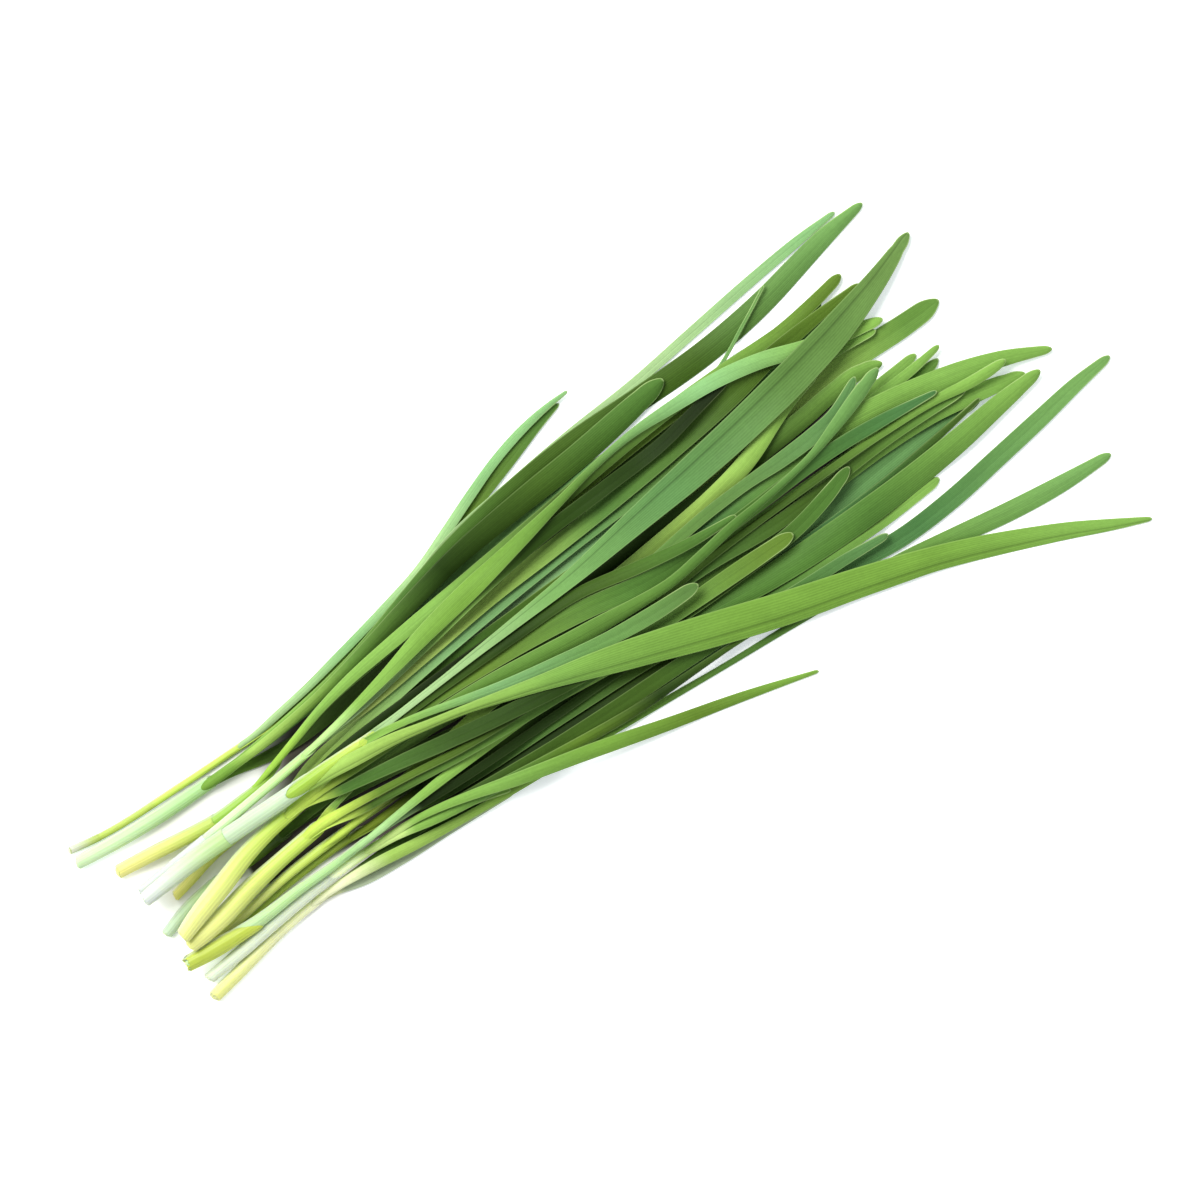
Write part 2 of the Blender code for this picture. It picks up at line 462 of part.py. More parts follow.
def needed(print_, support, roll):
    """Lowest centre height at each sample along a piece that clears its support."""
    tilt = print_.width_offset * np.sin(roll)[:, None]
    under = print_.under + tilt
    over = (support + GAP - under).max(1)
    return np.maximum(over, (-under).max(1))


def lay_stem(heap, name, plan, calls):
    """Heights of a stem's rings. Each call is a point and the height its blade needs there."""
    print_ = Footprint(plan, stem_section)
    level = np.zeros(len(print_.run))
    need = needed(print_, heap.read(print_.x, print_.y, ()), level)
    held = np.full(len(print_.run), FLOOR)
    middle = len(print_.v[0]) // 2
    for (x, y), height in calls:
        nearest = np.argmin(np.hypot(print_.x[:, middle] - x, print_.y[:, middle] - y))
        held = np.maximum(held, height - STEM_SLOPE * np.abs(print_.run - print_.run[nearest]))
    heights = ring_heights(print_, need, STEM_SLOPE, held)
    record_top(heap, (name, "stem"), print_, heights, np.zeros(len(heights)))
    return heights


def call_of(heap, plan, section, rise):
    """Where a blade's root is, and how high it must start to clear what its blade lies on."""
    print_ = Footprint(plan, section)
    support = heap.read(print_.x, print_.y, ())
    need = needed(print_, support, lean(print_, support))
    return plan[0, :2], (need - SLOPE * print_.run).max() - rise


def lay_blade(heap, name, plan, section, root, fuse_run):
    """Heights and leans of a blade's rings, from its root's height.

    A blade passes freely through its own stem, and through its sisters for fuse_run past it.
    """
    print_ = Footprint(plan, section)
    strangers = heap.read(print_.x, print_.y, ((name, "stem"), (name, "blades")))
    everyone = heap.read(print_.x, print_.y, ((name, "stem"),))
    free = print_.run > ROOT_RUN + fuse_run
    support = np.where(free[:, None], everyone, strangers)
    roll = lean(print_, support)
    need = needed(print_, support, roll)
    heights = ring_heights(print_, need, SLOPE, root - SLOPE * print_.run)
    ring_roll = np.interp(print_.ring_run, print_.run, roll)
    record_top(heap, (name, "blades"), print_, heights, ring_roll)
    return heights, ring_roll


def stem_height_at(plan, heights, point):
    """A stem's height beside a point, read between its rings."""
    run = np.concatenate([[0], np.cumsum(np.hypot(*np.diff(plan[:, :2], axis=0).T))])
    fine = np.linspace(0, run[-1], math.ceil(run[-1] / SAMPLE))
    x, y = (np.interp(fine, run, plan[:, k]) for k in range(2))
    return np.interp(fine[np.argmin(np.hypot(x - point[0], y - point[1]))], run, heights)


def record_top(heap, group, print_, heights, roll):
    """Add a laid piece's top to the heap."""
    height = between(heights, print_.at)[:, None]
    lean_ = between(roll, print_.at)[:, None]
    top = height + print_.top * np.cos(lean_) + print_.width_offset * np.sin(lean_)
    inside = print_.inside
    heap.add(group, print_.x[inside], print_.y[inside], top[inside])


# ---- meshes -----------------------------------------------------------------------------------

def stem_ring(width):
    """Corners of a stem's section, as (across, up), anticlockwise seen from the tips."""
    turns = [2 * math.pi * (k + 0.5) / STEM_SIDES for k in range(STEM_SIDES)]
    return [(math.cos(a) * width / 2, math.sin(a) * STEM_FLATNESS * width / 2) for a in turns]


def blade_ring(section, width):
    """Corners of a blade's section: along its underside, then back along its top."""
    v = np.array([-1.0, 0.0, 1.0])
    top, under = section(v, np.full(3, width / 2))
    across_ = v * width / 2
    return list(zip(across_, under)) + list(zip(across_[::-1], top[::-1]))


def loft(name, plan, heights, roll, ring):
    """A closed mesh object through the rings, with the same diagonals on both faces."""
    mesh = bmesh.new()
    side = across(plan)
    loops = []
    for (x, y, width), (side_x, side_y), height, turn in zip(plan, side, heights, roll):
        corners = []
        for flat, up in ring(width):
            out = flat * math.cos(turn) - up * math.sin(turn)
            rise = flat * math.sin(turn) + up * math.cos(turn)
            corners.append(mesh.verts.new(((x + out * side_x) * MM, (y + out * side_y) * MM,
                                           (height + rise) * MM)))
        loops.append(corners)
    count = len(loops[0])
    for near, far in zip(loops, loops[1:]):
        for k in range(count):
            n = (k + 1) % count
            if k < count // 2:
                mesh.faces.new((near[k], near[n], far[n]))
                mesh.faces.new((near[k], far[n], far[k]))
            else:
                mesh.faces.new((near[k], near[n], far[k]))
                mesh.faces.new((near[n], far[n], far[k]))
    mesh.faces.new(loops[0][::-1])
    mesh.faces.new(loops[-1])
    bmesh.ops.recalc_face_normals(mesh, faces=mesh.faces)
    data = bpy.data.meshes.new(name)
    mesh.to_mesh(data)
    mesh.free()
    made = bpy.data.objects.new(name, data)
    bpy.context.scene.collection.objects.link(made)
    return made


def fuse(base, others):
    """One Boolean union of base with the others, which are then removed."""
    group = bpy.data.collections.new(base.name + "_blades")
    bpy.context.scene.collection.children.link(group)
    for other in others:
        group.objects.link(other)
    union = base.modifiers.new("fuse", "BOOLEAN")
    union.operation = "UNION"
    union.operand_type = "COLLECTION"
    union.collection = group
    union.solver = "EXACT"
    evaluated = base.evaluated_get(bpy.context.evaluated_depsgraph_get())
    fused = bpy.data.meshes.new_from_object(evaluated)
    base.modifiers.clear()
    base.data = fused
    for other in others:
        bpy.data.objects.remove(other)
    bpy.data.collections.remove(group)


def plain_material(name, colour):
    """A satin, non-metallic surface of one colour."""
    material = bpy.data.materials.new(name)
    material.use_nodes = True
    shader = material.node_tree.nodes["Principled BSDF"]
    shader.inputs["Base Color"].default_value = colour
    shader.inputs["Roughness"].default_value = 0.45
    shader.inputs["Metallic"].default_value = 0.0
    return material


# ---- the bunch --------------------------------------------------------------------------------

def lay_shoot(heap, name, shoot):
    """Rings, heights and leans of a shoot's stem and blades, with every root inside the stem."""
    count = len(shoot["leaves"])
    plans = [blade_plan(points, shoot["stem"]) for points in shoot["leaves"]]
    sections = [flat_section if (name, k) == LOWEST_BLADE else blade_section for k in range(count)]
    rises = [(k - (count - 1) / 2) * ROOT_PITCH for k in range(count)]
    calls = [call_of(heap, *blade) for blade in zip(plans, sections, rises)]
    rings = stem_plan(shoot["stem"])
    for _ in range(SETTLE_TRIES):
        heap.clear(name)
        heights = lay_stem(heap, name, rings, calls)
        blades = []
        excess = []
        for k, (plan, section, rise) in enumerate(zip(plans, sections, rises)):
            root = stem_height_at(rings, heights, plan[0])
            up, roll = lay_blade(heap, name, plan, section, root + rise, FUSE_RUN + FUSE_STEP * k)
            blades.append((plan, up, roll, section))
            excess.append(max(0, up[0] - root - ROOT_STRAY))
        if max(excess) < 0.05:
            break
        calls = [(point, height + more) for (point, height), more in zip(calls, excess)]
    return rings, heights, blades


def build_shoot(heap, name, shoot):
    """One solid: the stem, with its blades fused to it where they are rooted."""
    rings, heights, blades = lay_shoot(heap, name, shoot)
    stem = loft(name, rings, heights, np.zeros(len(heights)), stem_ring)
    fuse(stem, [loft(f"{name}_blade_{k}", plan, up, roll, partial(blade_ring, section))
                for k, (plan, up, roll, section) in enumerate(blades)])
    return stem


def centre(objects):
    """Shift the meshes so that the origin is the middle of the bunch's base."""
    corners = np.array([v.co for o in objects for v in o.data.vertices])
    low, high = corners.min(0), corners.max(0)
    shift = Matrix.Translation((-(low[0] + high[0]) / 2, -(low[1] + high[1]) / 2, -low[2]))
    for made in objects:
        made.data.transform(shift)


def main():
    for old in list(bpy.data.objects):
        bpy.data.objects.remove(old)
    heap = Heap()
    made = [build_shoot(heap, name, shoot) for name, shoot in SHOOTS.items()]
    centre(made)
    for shoot in made:
        shoot.data.materials.clear()
        shoot.data.materials.append(plain_material(shoot.name + "_green", LEAF_GREEN))
        shoot.data.shade_smooth()
        shoot.data.set_sharp_from_angle(angle=SHARP_ANGLE)


main()
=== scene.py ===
import math

import bpy
import numpy as np
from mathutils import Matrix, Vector


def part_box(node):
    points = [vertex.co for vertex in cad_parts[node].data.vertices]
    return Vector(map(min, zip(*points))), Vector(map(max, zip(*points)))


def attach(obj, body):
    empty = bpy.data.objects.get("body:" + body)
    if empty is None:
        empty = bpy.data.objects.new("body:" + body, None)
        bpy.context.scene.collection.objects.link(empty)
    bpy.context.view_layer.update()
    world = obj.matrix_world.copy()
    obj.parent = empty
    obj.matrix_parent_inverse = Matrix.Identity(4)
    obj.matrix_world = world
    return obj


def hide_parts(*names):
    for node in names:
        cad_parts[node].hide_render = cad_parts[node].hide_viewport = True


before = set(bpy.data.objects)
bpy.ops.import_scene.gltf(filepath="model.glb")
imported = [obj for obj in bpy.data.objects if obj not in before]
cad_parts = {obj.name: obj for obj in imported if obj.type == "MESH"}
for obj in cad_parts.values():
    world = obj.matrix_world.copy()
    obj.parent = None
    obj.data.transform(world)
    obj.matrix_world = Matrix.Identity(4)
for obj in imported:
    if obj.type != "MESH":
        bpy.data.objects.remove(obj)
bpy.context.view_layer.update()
mm = 0.001
print("chives: frame loaded,", len(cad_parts), "shoots")

# tones of the leaf blades, as they look in full light, 0 to 255; along a blade they are partly its
# own colour and partly painted shade and light, darker where it lies in the shade of others
tones = {
    "soot": (34, 50, 20), "ink": (48, 72, 28), "dark": (64, 94, 38), "moss": (82, 114, 48),
    "deep": (78, 124, 50), "mid": (98, 142, 68), "olive": (112, 146, 60), "green": (117, 161, 78),
    "grass": (138, 184, 84), "teal": (88, 138, 80), "sea": (112, 160, 96), "reed": (108, 148, 80),
    "willow": (124, 162, 90), "spring": (134, 184, 106), "fresh": (146, 194, 98),
    "leek": (158, 208, 104), "lime": (186, 226, 118), "pear": (206, 232, 134),
    "mint": (158, 212, 142), "frost": (192, 230, 166), "snow": (226, 244, 208),
}

# tones of the sheaths, partly their own pale colour and partly painted light: some are past 255
# so that the skins look lit through
skins = {
    "milk": (244, 254, 230), "cream": (250, 255, 212), "butter": (258, 274, 222),
    "straw": (238, 242, 156), "lemon": (264, 255, 152), "lime": (200, 228, 108),
    "leek": (158, 200, 88), "mintWhite": (214, 244, 194), "pale": (198, 238, 158),
    "pearLime": (208, 238, 150), "celery": (194, 230, 166), "sprout": (174, 216, 150),
    "olive": (142, 166, 66), "chartreuse": (200, 218, 96), "bottle": (78, 106, 44),
    "collar": (166, 202, 84),
}
light = {
    "full": 1.75,  # how brightly the surface is lit where nothing shades it
    "vivid": 1.08,  # how much the paints are strengthened
    "darkest": 0.004,
}


def linear(colour):  # the paint that looks like this in full light
    shares = np.array(colour, float) / 255
    seen = np.where(shares <= 0.04045, shares / 12.92, ((shares + 0.055) / 1.055) ** 2.4)
    grey = seen.mean()
    return np.clip(grey + (seen - grey) * light["vivid"], light["darkest"], None) / light["full"]


# Lowest shoot first. Every point is x, y and width; a blade's route starts where it leaves its
# sheath, and its tones run from there to its tip, out of its sheath's tone or its base's. A skin
# is (x of its end, tone at the cut and there, depth of its mouth, slant of its mouth).
shoots = {}
shoots["shoot_01"] = {
    "sheath": "-127.5 3.7 2.6, -121 5.2 2.8, -114 7 3, -106 8 3.2, -95 8.3 3",
    "skins": [(None, "lemon", "pearLime", 3)],
    "blades": [
        {"tones": "lime frost mint sea spring", "route": """
          -93 8.2 2, -80 12 3, -60 14 4, -40 15.8 4.6, -20 17 5, 0 18.2 4.2, 20 19.9 4.4, 40 22.6 4.8,
          60 26.3 5, 80 30 4.4, 93 31.9 3.2"""},
        {"tones": "olive mid olive lime green", "route": """
          -92 8 2, -75 10.6 3, -50 13 4.4, -20 14 5, 20 15 5.4, 45 16 5.8, 62 17.5 6, 75 20 6, 90 20.6 6,
          105 20.4 5.8, 112 20.6 5.2, 115.3 20.8 4.4"""},
        {"tones": "lime mint sea green fresh", "route": """
          -93 8 2, -75 11.2 2.8, -40 16.5 3.6, 0 20.5 3.6, 40 23 3.6, 65 24.8 3.6, 85 24.5 3,
          98 23.2 2"""},
        {"tones": "ink soot soot dark fresh", "route": """
          -92 7.6 2, -75 10.2 3, -45 11.6 4, -10 12 4, 15 12 3.6, 30 12.4 4.2, 45 12.9 5.2, 60 14.2 5.4,
          70 15 5.2, 80 16.3 4.8, 88 16.9 4.2, 94.8 15.6 3"""},
        {"tones": "lime green green lime leek", "route": """
          -92 7.5 2, -80 8.8 2.6, -60 9.4 3.2, -30 8.8 4, -10 7.6 4.4, 10 8 4.4, 20 8.9 4.7, 30 9.9 4.9,
          40 11.4 4.6, 50 13.3 4.8, 57 15.6 4.4, 63 18 3.8, 70 20.6 3.4, 80 23 2.8"""},
    ],
}
shoots["shoot_02"] = {
    "sheath": "-134.5 -3 3, -125 -0.2 3.2, -118 0.8 3.2, -106 1 3.4, -95 1.6 3.2",
    "skins": [(-115, "mintWhite", "pale", 0), (None, "leek", "bottle", 3)],
    "base": "moss",
    "blades": [
        {"tones": "green dark dark moss mid", "route": """
          -93 1.8 2, -75 1.6 4.4, -60 0 5, -45 -2.3 5, -30 -4 5, 0 -5.4 4.6, 25 -4.2 4.2, 40 -3 4,
          55 -2.3 4, 70 -0.8 3.6, 86 0.4 2.4"""},
        {"tones": "moss fresh fresh moss fresh", "route": """
          -92 1.9 2, -75 2.6 2.6, -50 3 3.4, -20 1 4, 10 1.5 4.4, 40 4.5 4.4, 65 8 4.2, 85 10.5 3.8,
          103 12.7 2.4"""},
        {"tones": "green green moss mid leek", "route": """
          -92 2 2, -80 3 2.6, -65 4.8 3.4, -50 5.6 4.2, -20 3 4.6, 0 1.2 4.6, 15 0.2 4.2, 35 -0.2 3.2,
          60 0.9 2.2, 85 1.6 1.8, 107 1 1.4"""},
    ],
}
shoots["shoot_03"] = {
    "sheath": "-133.5 -22.6 3.4, -125 -21 3.5, -115 -19 3.4, -105 -17.5 2.8, -97 -16.9 2.4",
    "skins": [(None, "straw", "cream", 3)],
    "blades": [
        {"tones": "snow snow snow", "route": """
          -94 -17.4 1.8, -85 -19.6 2, -75 -20.5 2, -60 -21 1.8, -42 -22 1.2"""},
        {"tones": "moss dark sea teal spring", "route": """
          -94 -16.9 2, -80 -17.3 2.6, -60 -18.4 3.2, -30 -19.4 4, 0 -19.2 4.2, 30 -19.8 4.4, 55 -21.5 4.6,
          75 -23.4 4.8, 90 -22.5 5, 105 -20.3 4.9, 120 -18 4.6, 132 -16 3.8, 143 -14.8 2.2"""},
        {"tones": "moss ink ink moss olive", "route": """
          -94 -16.8 2, -75 -16.2 2.8, -40 -15.9 3.8, 0 -16.6 4, 25 -18.4 3.6, 48 -19.8 2.8,
          59 -19.2 2"""},
        {"tones": "lime grass mid green spring", "route": """
          -94 -16.8 2, -80 -17.6 3, -70 -18.9 3, -60 -20 2.6, -45 -21.2 2.2, -20 -22.6 2.2, 0 -24 1.9,
          20 -25.3 1.6, 41 -26.3 2, 70 -28 3.8, 85 -30.5 4.6, 100 -33 5, 115 -34.6 4.4,
          129.5 -35.3 2.4"""},
    ],
}
shoots["shoot_04"] = {
    "sheath": "-126 -12.5 2.4, -110 -10.1 2.4, -100 -9 2.5, -90 -8.5 2.4, -80 -8.5 2.2",
    "skins": [(None, "lime", "olive", 3)],
    "blades": [
        {"tones": "moss dark mid sea sea", "route": """
          -77 -9 1.8, -50 -10.2 3.4, 0 -10.7 4.4, 30 -10.6 5.2, 56 -9 6.2, 65 -7.6 6.6, 80 -5.9 7,
          95 -4.8 6.4, 104 -4.6 5, 111 -5 3.6"""},
        {"tones": "dark mid moss mid fresh", "route": """
          -77 -9.2 1.8, -60 -11.8 3.2, -20 -12.9 4, 0 -13.3 4.2, 30 -15.4 4.2, 55 -17.1 4, 75 -17.1 3.6,
          90.5 -16.3 2.8"""},
        {"tones": "ink dark green green fresh", "route": """
          -77 -8.8 1.8, -55 -8 3, -20 -6.6 3.8, 20 -5 4.2, 60 -3 4.4, 85 -1.9 4.2, 98 -2.2 4.4,
          110 -3.9 4.6, 116 -5.1 4, 123 -6.6 2.6"""},
    ],
}
shoots["shoot_05"] = {
    "sheath": "-128 -11.2 2.4, -118 -10 2.5, -108 -8.5 2.5, -100 -7.4 2.6, -92 -6.8 2.6, -83 -6.4 2.4",
    "skins": [(None, "straw", "lime", 3)],
    "blades": [
        {"tones": "ink soot mid moss green", "route": """
          -80 -6.3 1.8, -60 -5.8 2.6, -35 -4.8 3.2, -5 -3.2 3.4, 30 -2.2 3.4, 50 -3 3.8, 62 -2.6 3.6,
          75 -1.6 3, 85 -1 3, 100 -0.9 3.4, 105 -1 3.4, 109.5 -0.9 2.6"""},
        {"tones": "dark dark moss mid green", "route": """
          -80 -6.2 1.8, -60 -4.6 2.6, -35 -1.6 3, 0 2 3.2, 50 5.6 3.2, 80 7.5 3, 97 8 3.2, 103 7.9 3,
          107 8.6 2"""},
        {"tones": "ink dark mid green fresh", "route": """
          -80 -6.1 1.8, -60 -4.2 2.6, -35 -0.6 3.2, 0 3.6 3.4, 40 6.6 3.6, 70 8.5 3.4, 88 9.2 3,
          100 10 2.6, 109 11.3 1.6"""},
        {"tones": "olive moss teal fresh fresh", "route": """
          -80 -6 1.8, -60 -3.6 2.8, -30 0.4 3.8, 10 4.4 4.6, 45 7 5.2, 60 8 5.6, 75 8.1 6, 90 6.6 6,
          100 4.8 5.8, 110 2.7 5.2, 120 -0.3 4.2, 132 -5.3 2"""},
    ],
}
shoots["shoot_06"] = {
    "sheath": "-132 -18 3, -120 -16.8 3.4, -110 -15.5 3.5, -100 -14.4 3.4, -89 -13.7 3, -77 -13.7 2.4",
    "skins": [(-90, "butter", "butter", 2), (None, "butter", "pearLime", 3)],
    "blades": [
        {"tones": "lime leek leek", "route": """
          -74 -14.3 1.6, -66 -15.6 1.6, -58 -17 1.5, -50 -18.8 1.4, -42 -21 1.2"""},
        {"tones": "dark moss moss mid sea", "route": """
          -74 -14.2 1.8, -65 -15.1 2.6, -40 -17.5 3.8, -20 -18.4 4.2, 20 -18.8 4, 45 -19.6 3.4, 60 -20 3,
          72 -20.8 2"""},
        {"tones": "leek mid olive ink moss", "route": """
          -74 -14.4 1.8, -62 -16.4 2.6, -50 -17.8 3, -30 -20 3, -5 -22 2.8, 17 -22 1.8, 24 -22 1.6,
          31 -22.4 1.2"""},
        {"tones": "leek fresh grass olive grass", "route": """
          -74 -13.6 1.8, -66 -13.8 1.8, -60 -14.6 2, -50 -16.8 2.6, -40 -19.5 3.4, -20 -24.3 4,
          0 -29.5 3.4, 20 -34.4 2.5, 38.5 -39.5 1"""},
    ],
}
shoots["shoot_07"] = {
    "sheath": """-134 -11.8 4.2, -125 -12.6 4.6, -113 -12.9 3.6, -100 -12.1 2.8, -90 -11.9 2.4,
                -80 -11.3 2.2""",
    "skins": [(-116, "chartreuse", "chartreuse", -1.2, 3.5), (None, "celery", "sprout", 3)],
    "fray": 6.0,
    "blades": [
        {"tones": "soot ink dark teal moss", "route": """
          -77 -11.2 1.6, -50 -12 2.2, 0 -11.6 2.4, 40 -11 2.4, 80 -9.3 2.2, 95 -7.6 2, 110 -5.4 1.2"""},
        {"tones": "leek leek mid mid fresh", "route": """
          -77 -11.1 1.8, -65 -10 2.1, -50 -8.8 2.9, -40 -8.2 3.4, -25 -7.6 3.8, -10 -8.5 4.2, 5 -9.8 4.6,
          20 -11.4 5.2, 40 -13.1 6.4, 60 -13.6 7, 80 -13 7, 100 -11.2 6.2, 115 -9.2 4.8, 126.5 -8 2.8"""},
    ],
}
shoots["shoot_08"] = {
    "sheath": "-131 -8.6 4, -125 -7.8 4.8, -120 -7.1 5, -110 -5 4.8, -100 -3.4 4, -88 -2 3.8",
    "skins": [(None, "straw", "lime", 3)],
    "blades": [
        {"tones": "lime leek grass", "route": """
          -86 -1.2 1.8, -82 0.2 1.8, -74 1.6 1.2"""},
        {"tones": "moss green mid moss mid", "route": """
          -85 -2.4 2, -78 -4.1 2, -70 -5 1.9, -60 -6 1.9, -45 -7 2.8, -20 -8 3.4, 10 -8.8 4, 40 -8 4.2,
          55 -6.5 4.2, 65 -4 4, 73.3 -1.3 2.8"""},
        {"tones": "olive ink moss moss leek", "route": """
          -85 -1.6 2, -78 -2.1 2.2, -70 -2.9 2, -60 -4 1.9, -48 -5.4 2.2, -30 -6 2.6, 0 -4 2.4,
          30 -0.9 2.2, 60 0.4 2, 85 1 2.2, 100 0.5 2.4, 110 -0.8 3, 116 -1.1 2.9, 120.7 -1 2"""},
    ],
}
shoots["shoot_09"] = {
    "sheath": "-131 -5.8 4, -125 -3.6 4.8, -115 -0.4 5.2, -105 2.8 4.6, -97 4.4 4, -90 5.2 3.6",
    "skins": [(None, "straw", "lime", 3)],
    "blades": [
        {"tones": "olive dark green reed sea", "route": """
          -87 5.2 2, -70 6 2.4, -50 6.6 2.6, -20 5.6 2.8, 10 5.6 2.8, 40 8.9 3.2, 50 9.4 3.2, 60 9.5 4,
          70 10.1 4.2, 77 11.3 3.8, 83 14.1 3, 87 16.6 1.8"""},
        {"tones": "mid dark ink green olive", "route": """
          -87 5 2, -78 2.8 2.4, -70 1.6 3, -60 0 3.6, -50 -1.9 4.2, -40 -3.6 4.4, -30 -5 4.2, -15 -6.8 4,
          15 -7.7 4.4, 38 -7.5 4.6, 52.3 -7.4 3.6"""},
        {"tones": "mid olive mid mid teal", "route": """
          -87 5.4 2, -75 6.8 2.6, -50 8.2 3, -35 8.1 3.8, -20 7.7 5, -10 6.9 5.3, 0 5.7 5.3, 10 4 5.2,
          20 3 4.6, 30 2.9 4, 50 3.6 3.8, 65 4.5 3.8, 75 4.5 3.8, 85 3.8 3.4, 95 2.8 2.4, 102 2 1.4"""},
        {"tones": "lime moss ink moss mid", "route": """
          -87 5.6 2, -75 7.8 2.4, -50 9.6 2.8, -20 10.4 3.2, 0 10.2 3.2, 15 7.4 3.6, 30 5.1 2.8,
          43 4.3 1.6"""},
        {"tones": "olive green green mid spring", "route": """
          -87 5.2 2, -70 5.2 2.4, -50 5.2 3, -40 4.8 3.6, -30 3.9 4.4, -20 2.7 4.8, -10 1.5 5, 0 0.7 4.6,
          10 -0.1 3.6, 20 -0.4 2.9, 30 0.9 2.8, 40 2.5 2.7, 50 3.6 2.2, 60 5 1.9, 67 6.3 2, 75 8.8 3,
          82 11.2 3.8, 87 13 3.8, 93 15.2 2.6"""},
    ],
}
shoots["shoot_10"] = {
    "sheath": "-143 28.2 2, -135 26.9 2, -110 26 2, -90 25.9 2",
    "skins": [(-134, "cream", "lime", 0), (None, "lime", "lime", 3)],
    "blades": [
        {"tones": "mid deep deep", "route": """
          -87 25.6 1.8, -75 26.2 2, -60 28.2 2.4, -50 30.4 2.4, -40 32.6 2.4, -28 35.6 2.4,
          -10 39.6 1.6"""},
        {"tones": "olive grass olive mid", "route": """
          -87 25.8 1.8, -75 26.8 2.2, -60 29.3 2.4, -45 32.4 2.6, -30 36.2 3, -15 41.3 3.2, -5 44.8 3.4,
          5 48 3.2, 15 51 2.4, 22 52.5 1.2"""},
        {"tones": "frost mint frost mint mint", "base": "frost", "route": """
          -87 26.2 1.8, -80 27.2 2, -70 28.7 2.2, -60 30.7 2.4, -45 33.9 2.4, -30 37.6 2.6, -20 41.4 2.8,
          -10 45.5 2.8, 0 49.3 2.6, 10 52 2.4, 20 53.5 1.6, 25.5 53.8 0.9"""},
    ],
}
shoots["shoot_11"] = {
    "sheath": "-143 24.5 3.4, -130 23.3 3.8, -120 22.8 3.8, -103 22.6 3.4",
    "skins": [(None, "mintWhite", "sprout", 1)],
    "base": "grass",
    "blades": [
        {"tones": "moss soot ink moss", "route": """
          -100 22 2, -90 20.2 2.8, -80 19.2 3.2, -70 19.7 3.4, -60 21.2 3.6, -40 24.2 4, -20 26.6 4.4,
          0 28.8 4.4, 20 31 4, 40 33 3.4, 58 34.4 2"""},
        {"tones": "leek mint spring sea", "route": """
          -100 22.5 2, -85 23 2, -70 24.4 2.2, -50 27.4 2.4, -35 29.9 2.6, -20 31.8 3, 0 33 3.2,
          10 33.8 3, 25 35.2 1.8"""},
        {"tones": "lime frost frost frost mint", "route": """
          -100 22.7 2, -85 23.8 2.2, -70 26 2.4, -50 30 2.6, -35 34.4 3, -20 39.2 3, 0 42 3, 20 44.3 3,
          40 46 2.8, 60 48.6 3, 80 51.2 3, 95 52.8 2.6, 106 53.6 1.4"""},
        {"tones": "leek mid moss moss spring", "route": """
          -100 22.6 2.2, -85 23.8 2.6, -75 25 2.8, -60 27.3 3.2, -50 29.5 3.8, -40 32.2 4.4, -20 37.4 5.2,
          0 40.4 6, 20 42 6.4, 40 42 6.4, 60 42.6 6.4, 80 45.3 6, 90 47.5 5.6, 100 49.7 4.8,
          113 51.6 2"""},
        {"tones": "lime green ink moss mid", "route": """
          -100 22.5 2, -85 23.3 2.4, -70 25 2.8, -55 27.8 3.6, -40 31 4.6, -20 34.9 5.6, 0 37.1 6.4,
          20 38.9 6.6, 35 41 6, 47 42.8 4.6"""},
    ],
}
shoots["shoot_12"] = {
    "sheath": """-136 17 3.6, -125 15.8 3.8, -115 14.5 3.8, -108 13.9 3.6, -100 14.3 3.2, -93 15.1 2.6,
                -88 16.7 2.2""",
    "skins": [(-107, "lemon", "lime", 1), (None, "leek", "leek", 3)],
    "blades": [
        {"tones": "leek dark olive olive green", "route": """
          -85 18 1.6, -80 19.4 1.8, -70 22.2 2, -50 25 2.6, -20 28 3.2, 10 31.2 3.2, 35 33.4 3.2,
          55 34.4 3.2, 70 34 3.2, 80 34.7 3, 90.5 36.7 2"""},
        {"tones": "leek leek fresh mint spring", "route": """
          -85 18 1.6, -80 19.4 1.6, -70 22.3 1.6, -50 25.4 1.6, -20 28.6 1.6, 10 32.4 1.6, 35 35.2 1.4,
          52 36 1.2, 60 37.4 1.1, 65 39.7 1, 70 42.4 1, 75 45 0.9, 81 48.3 0.8"""},
        {"tones": "leek fresh moss fresh olive", "route": """
          -85 18 1.8, -80 19.5 1.9, -70 22.4 2.2, -60 24.4 2.8, -50 25.7 3.4, -40 26.8 3.8, -20 28.8 4,
          0 31 3.8, 20 33.3 3.6, 45 35.6 3.6, 60 36.1 3.6, 80 36.5 3.6, 90 38 3.4, 98.5 39.8 2.8"""},
    ],
}
shoots["shoot_13"] = {
    "sheath": "-134 9.7 2.4, -120 10.8 2.6, -108 11.8 2.8, -98 12.9 2.6, -88 14 2.6, -78 15.2 2.2",
    "skins": [(-112, "milk", "milk", 0), (None, "mintWhite", "pale", 3)],
    "blades": [
        {"tones": "pear lime mid moss olive", "route": """
          -75 15.5 1.8, -60 16.4 2.8, -40 19 4, -20 21.6 4.6, 0 23 4.8, 20 24.6 4.8, 40 27 5.4, 60 30.4 6,
          75 33 4.6, 88 34.3 3.2, 101 35.2 1.8"""},
        {"tones": "frost fresh dark ink soot", "route": """
          -75 15.7 1.8, -60 17.4 2.6, -40 20.8 3.2, -20 24.6 3.6, 0 27.4 3.8, 20 28.4 3.8, 38 29.6 3.6,
          50 32 3, 60 33.6 2"""},
        {"tones": "leek grass green mint leek", "route": """
          -75 15.8 1.8, -70 16.6 2, -60 18.5 2.6, -50 20.6 3.4, -40 22.9 4.5, -20 26.7 5.2, -5 29.4 3.8,
          8 31.9 2.4, 20 34.3 2, 32 35.8 2.2, 45 35.8 3.4, 60 34.9 4.2, 70 32.9 4.2, 80 29.6 4.2,
          92 26.6 3.8, 101 24.6 2.4"""},
    ],
}
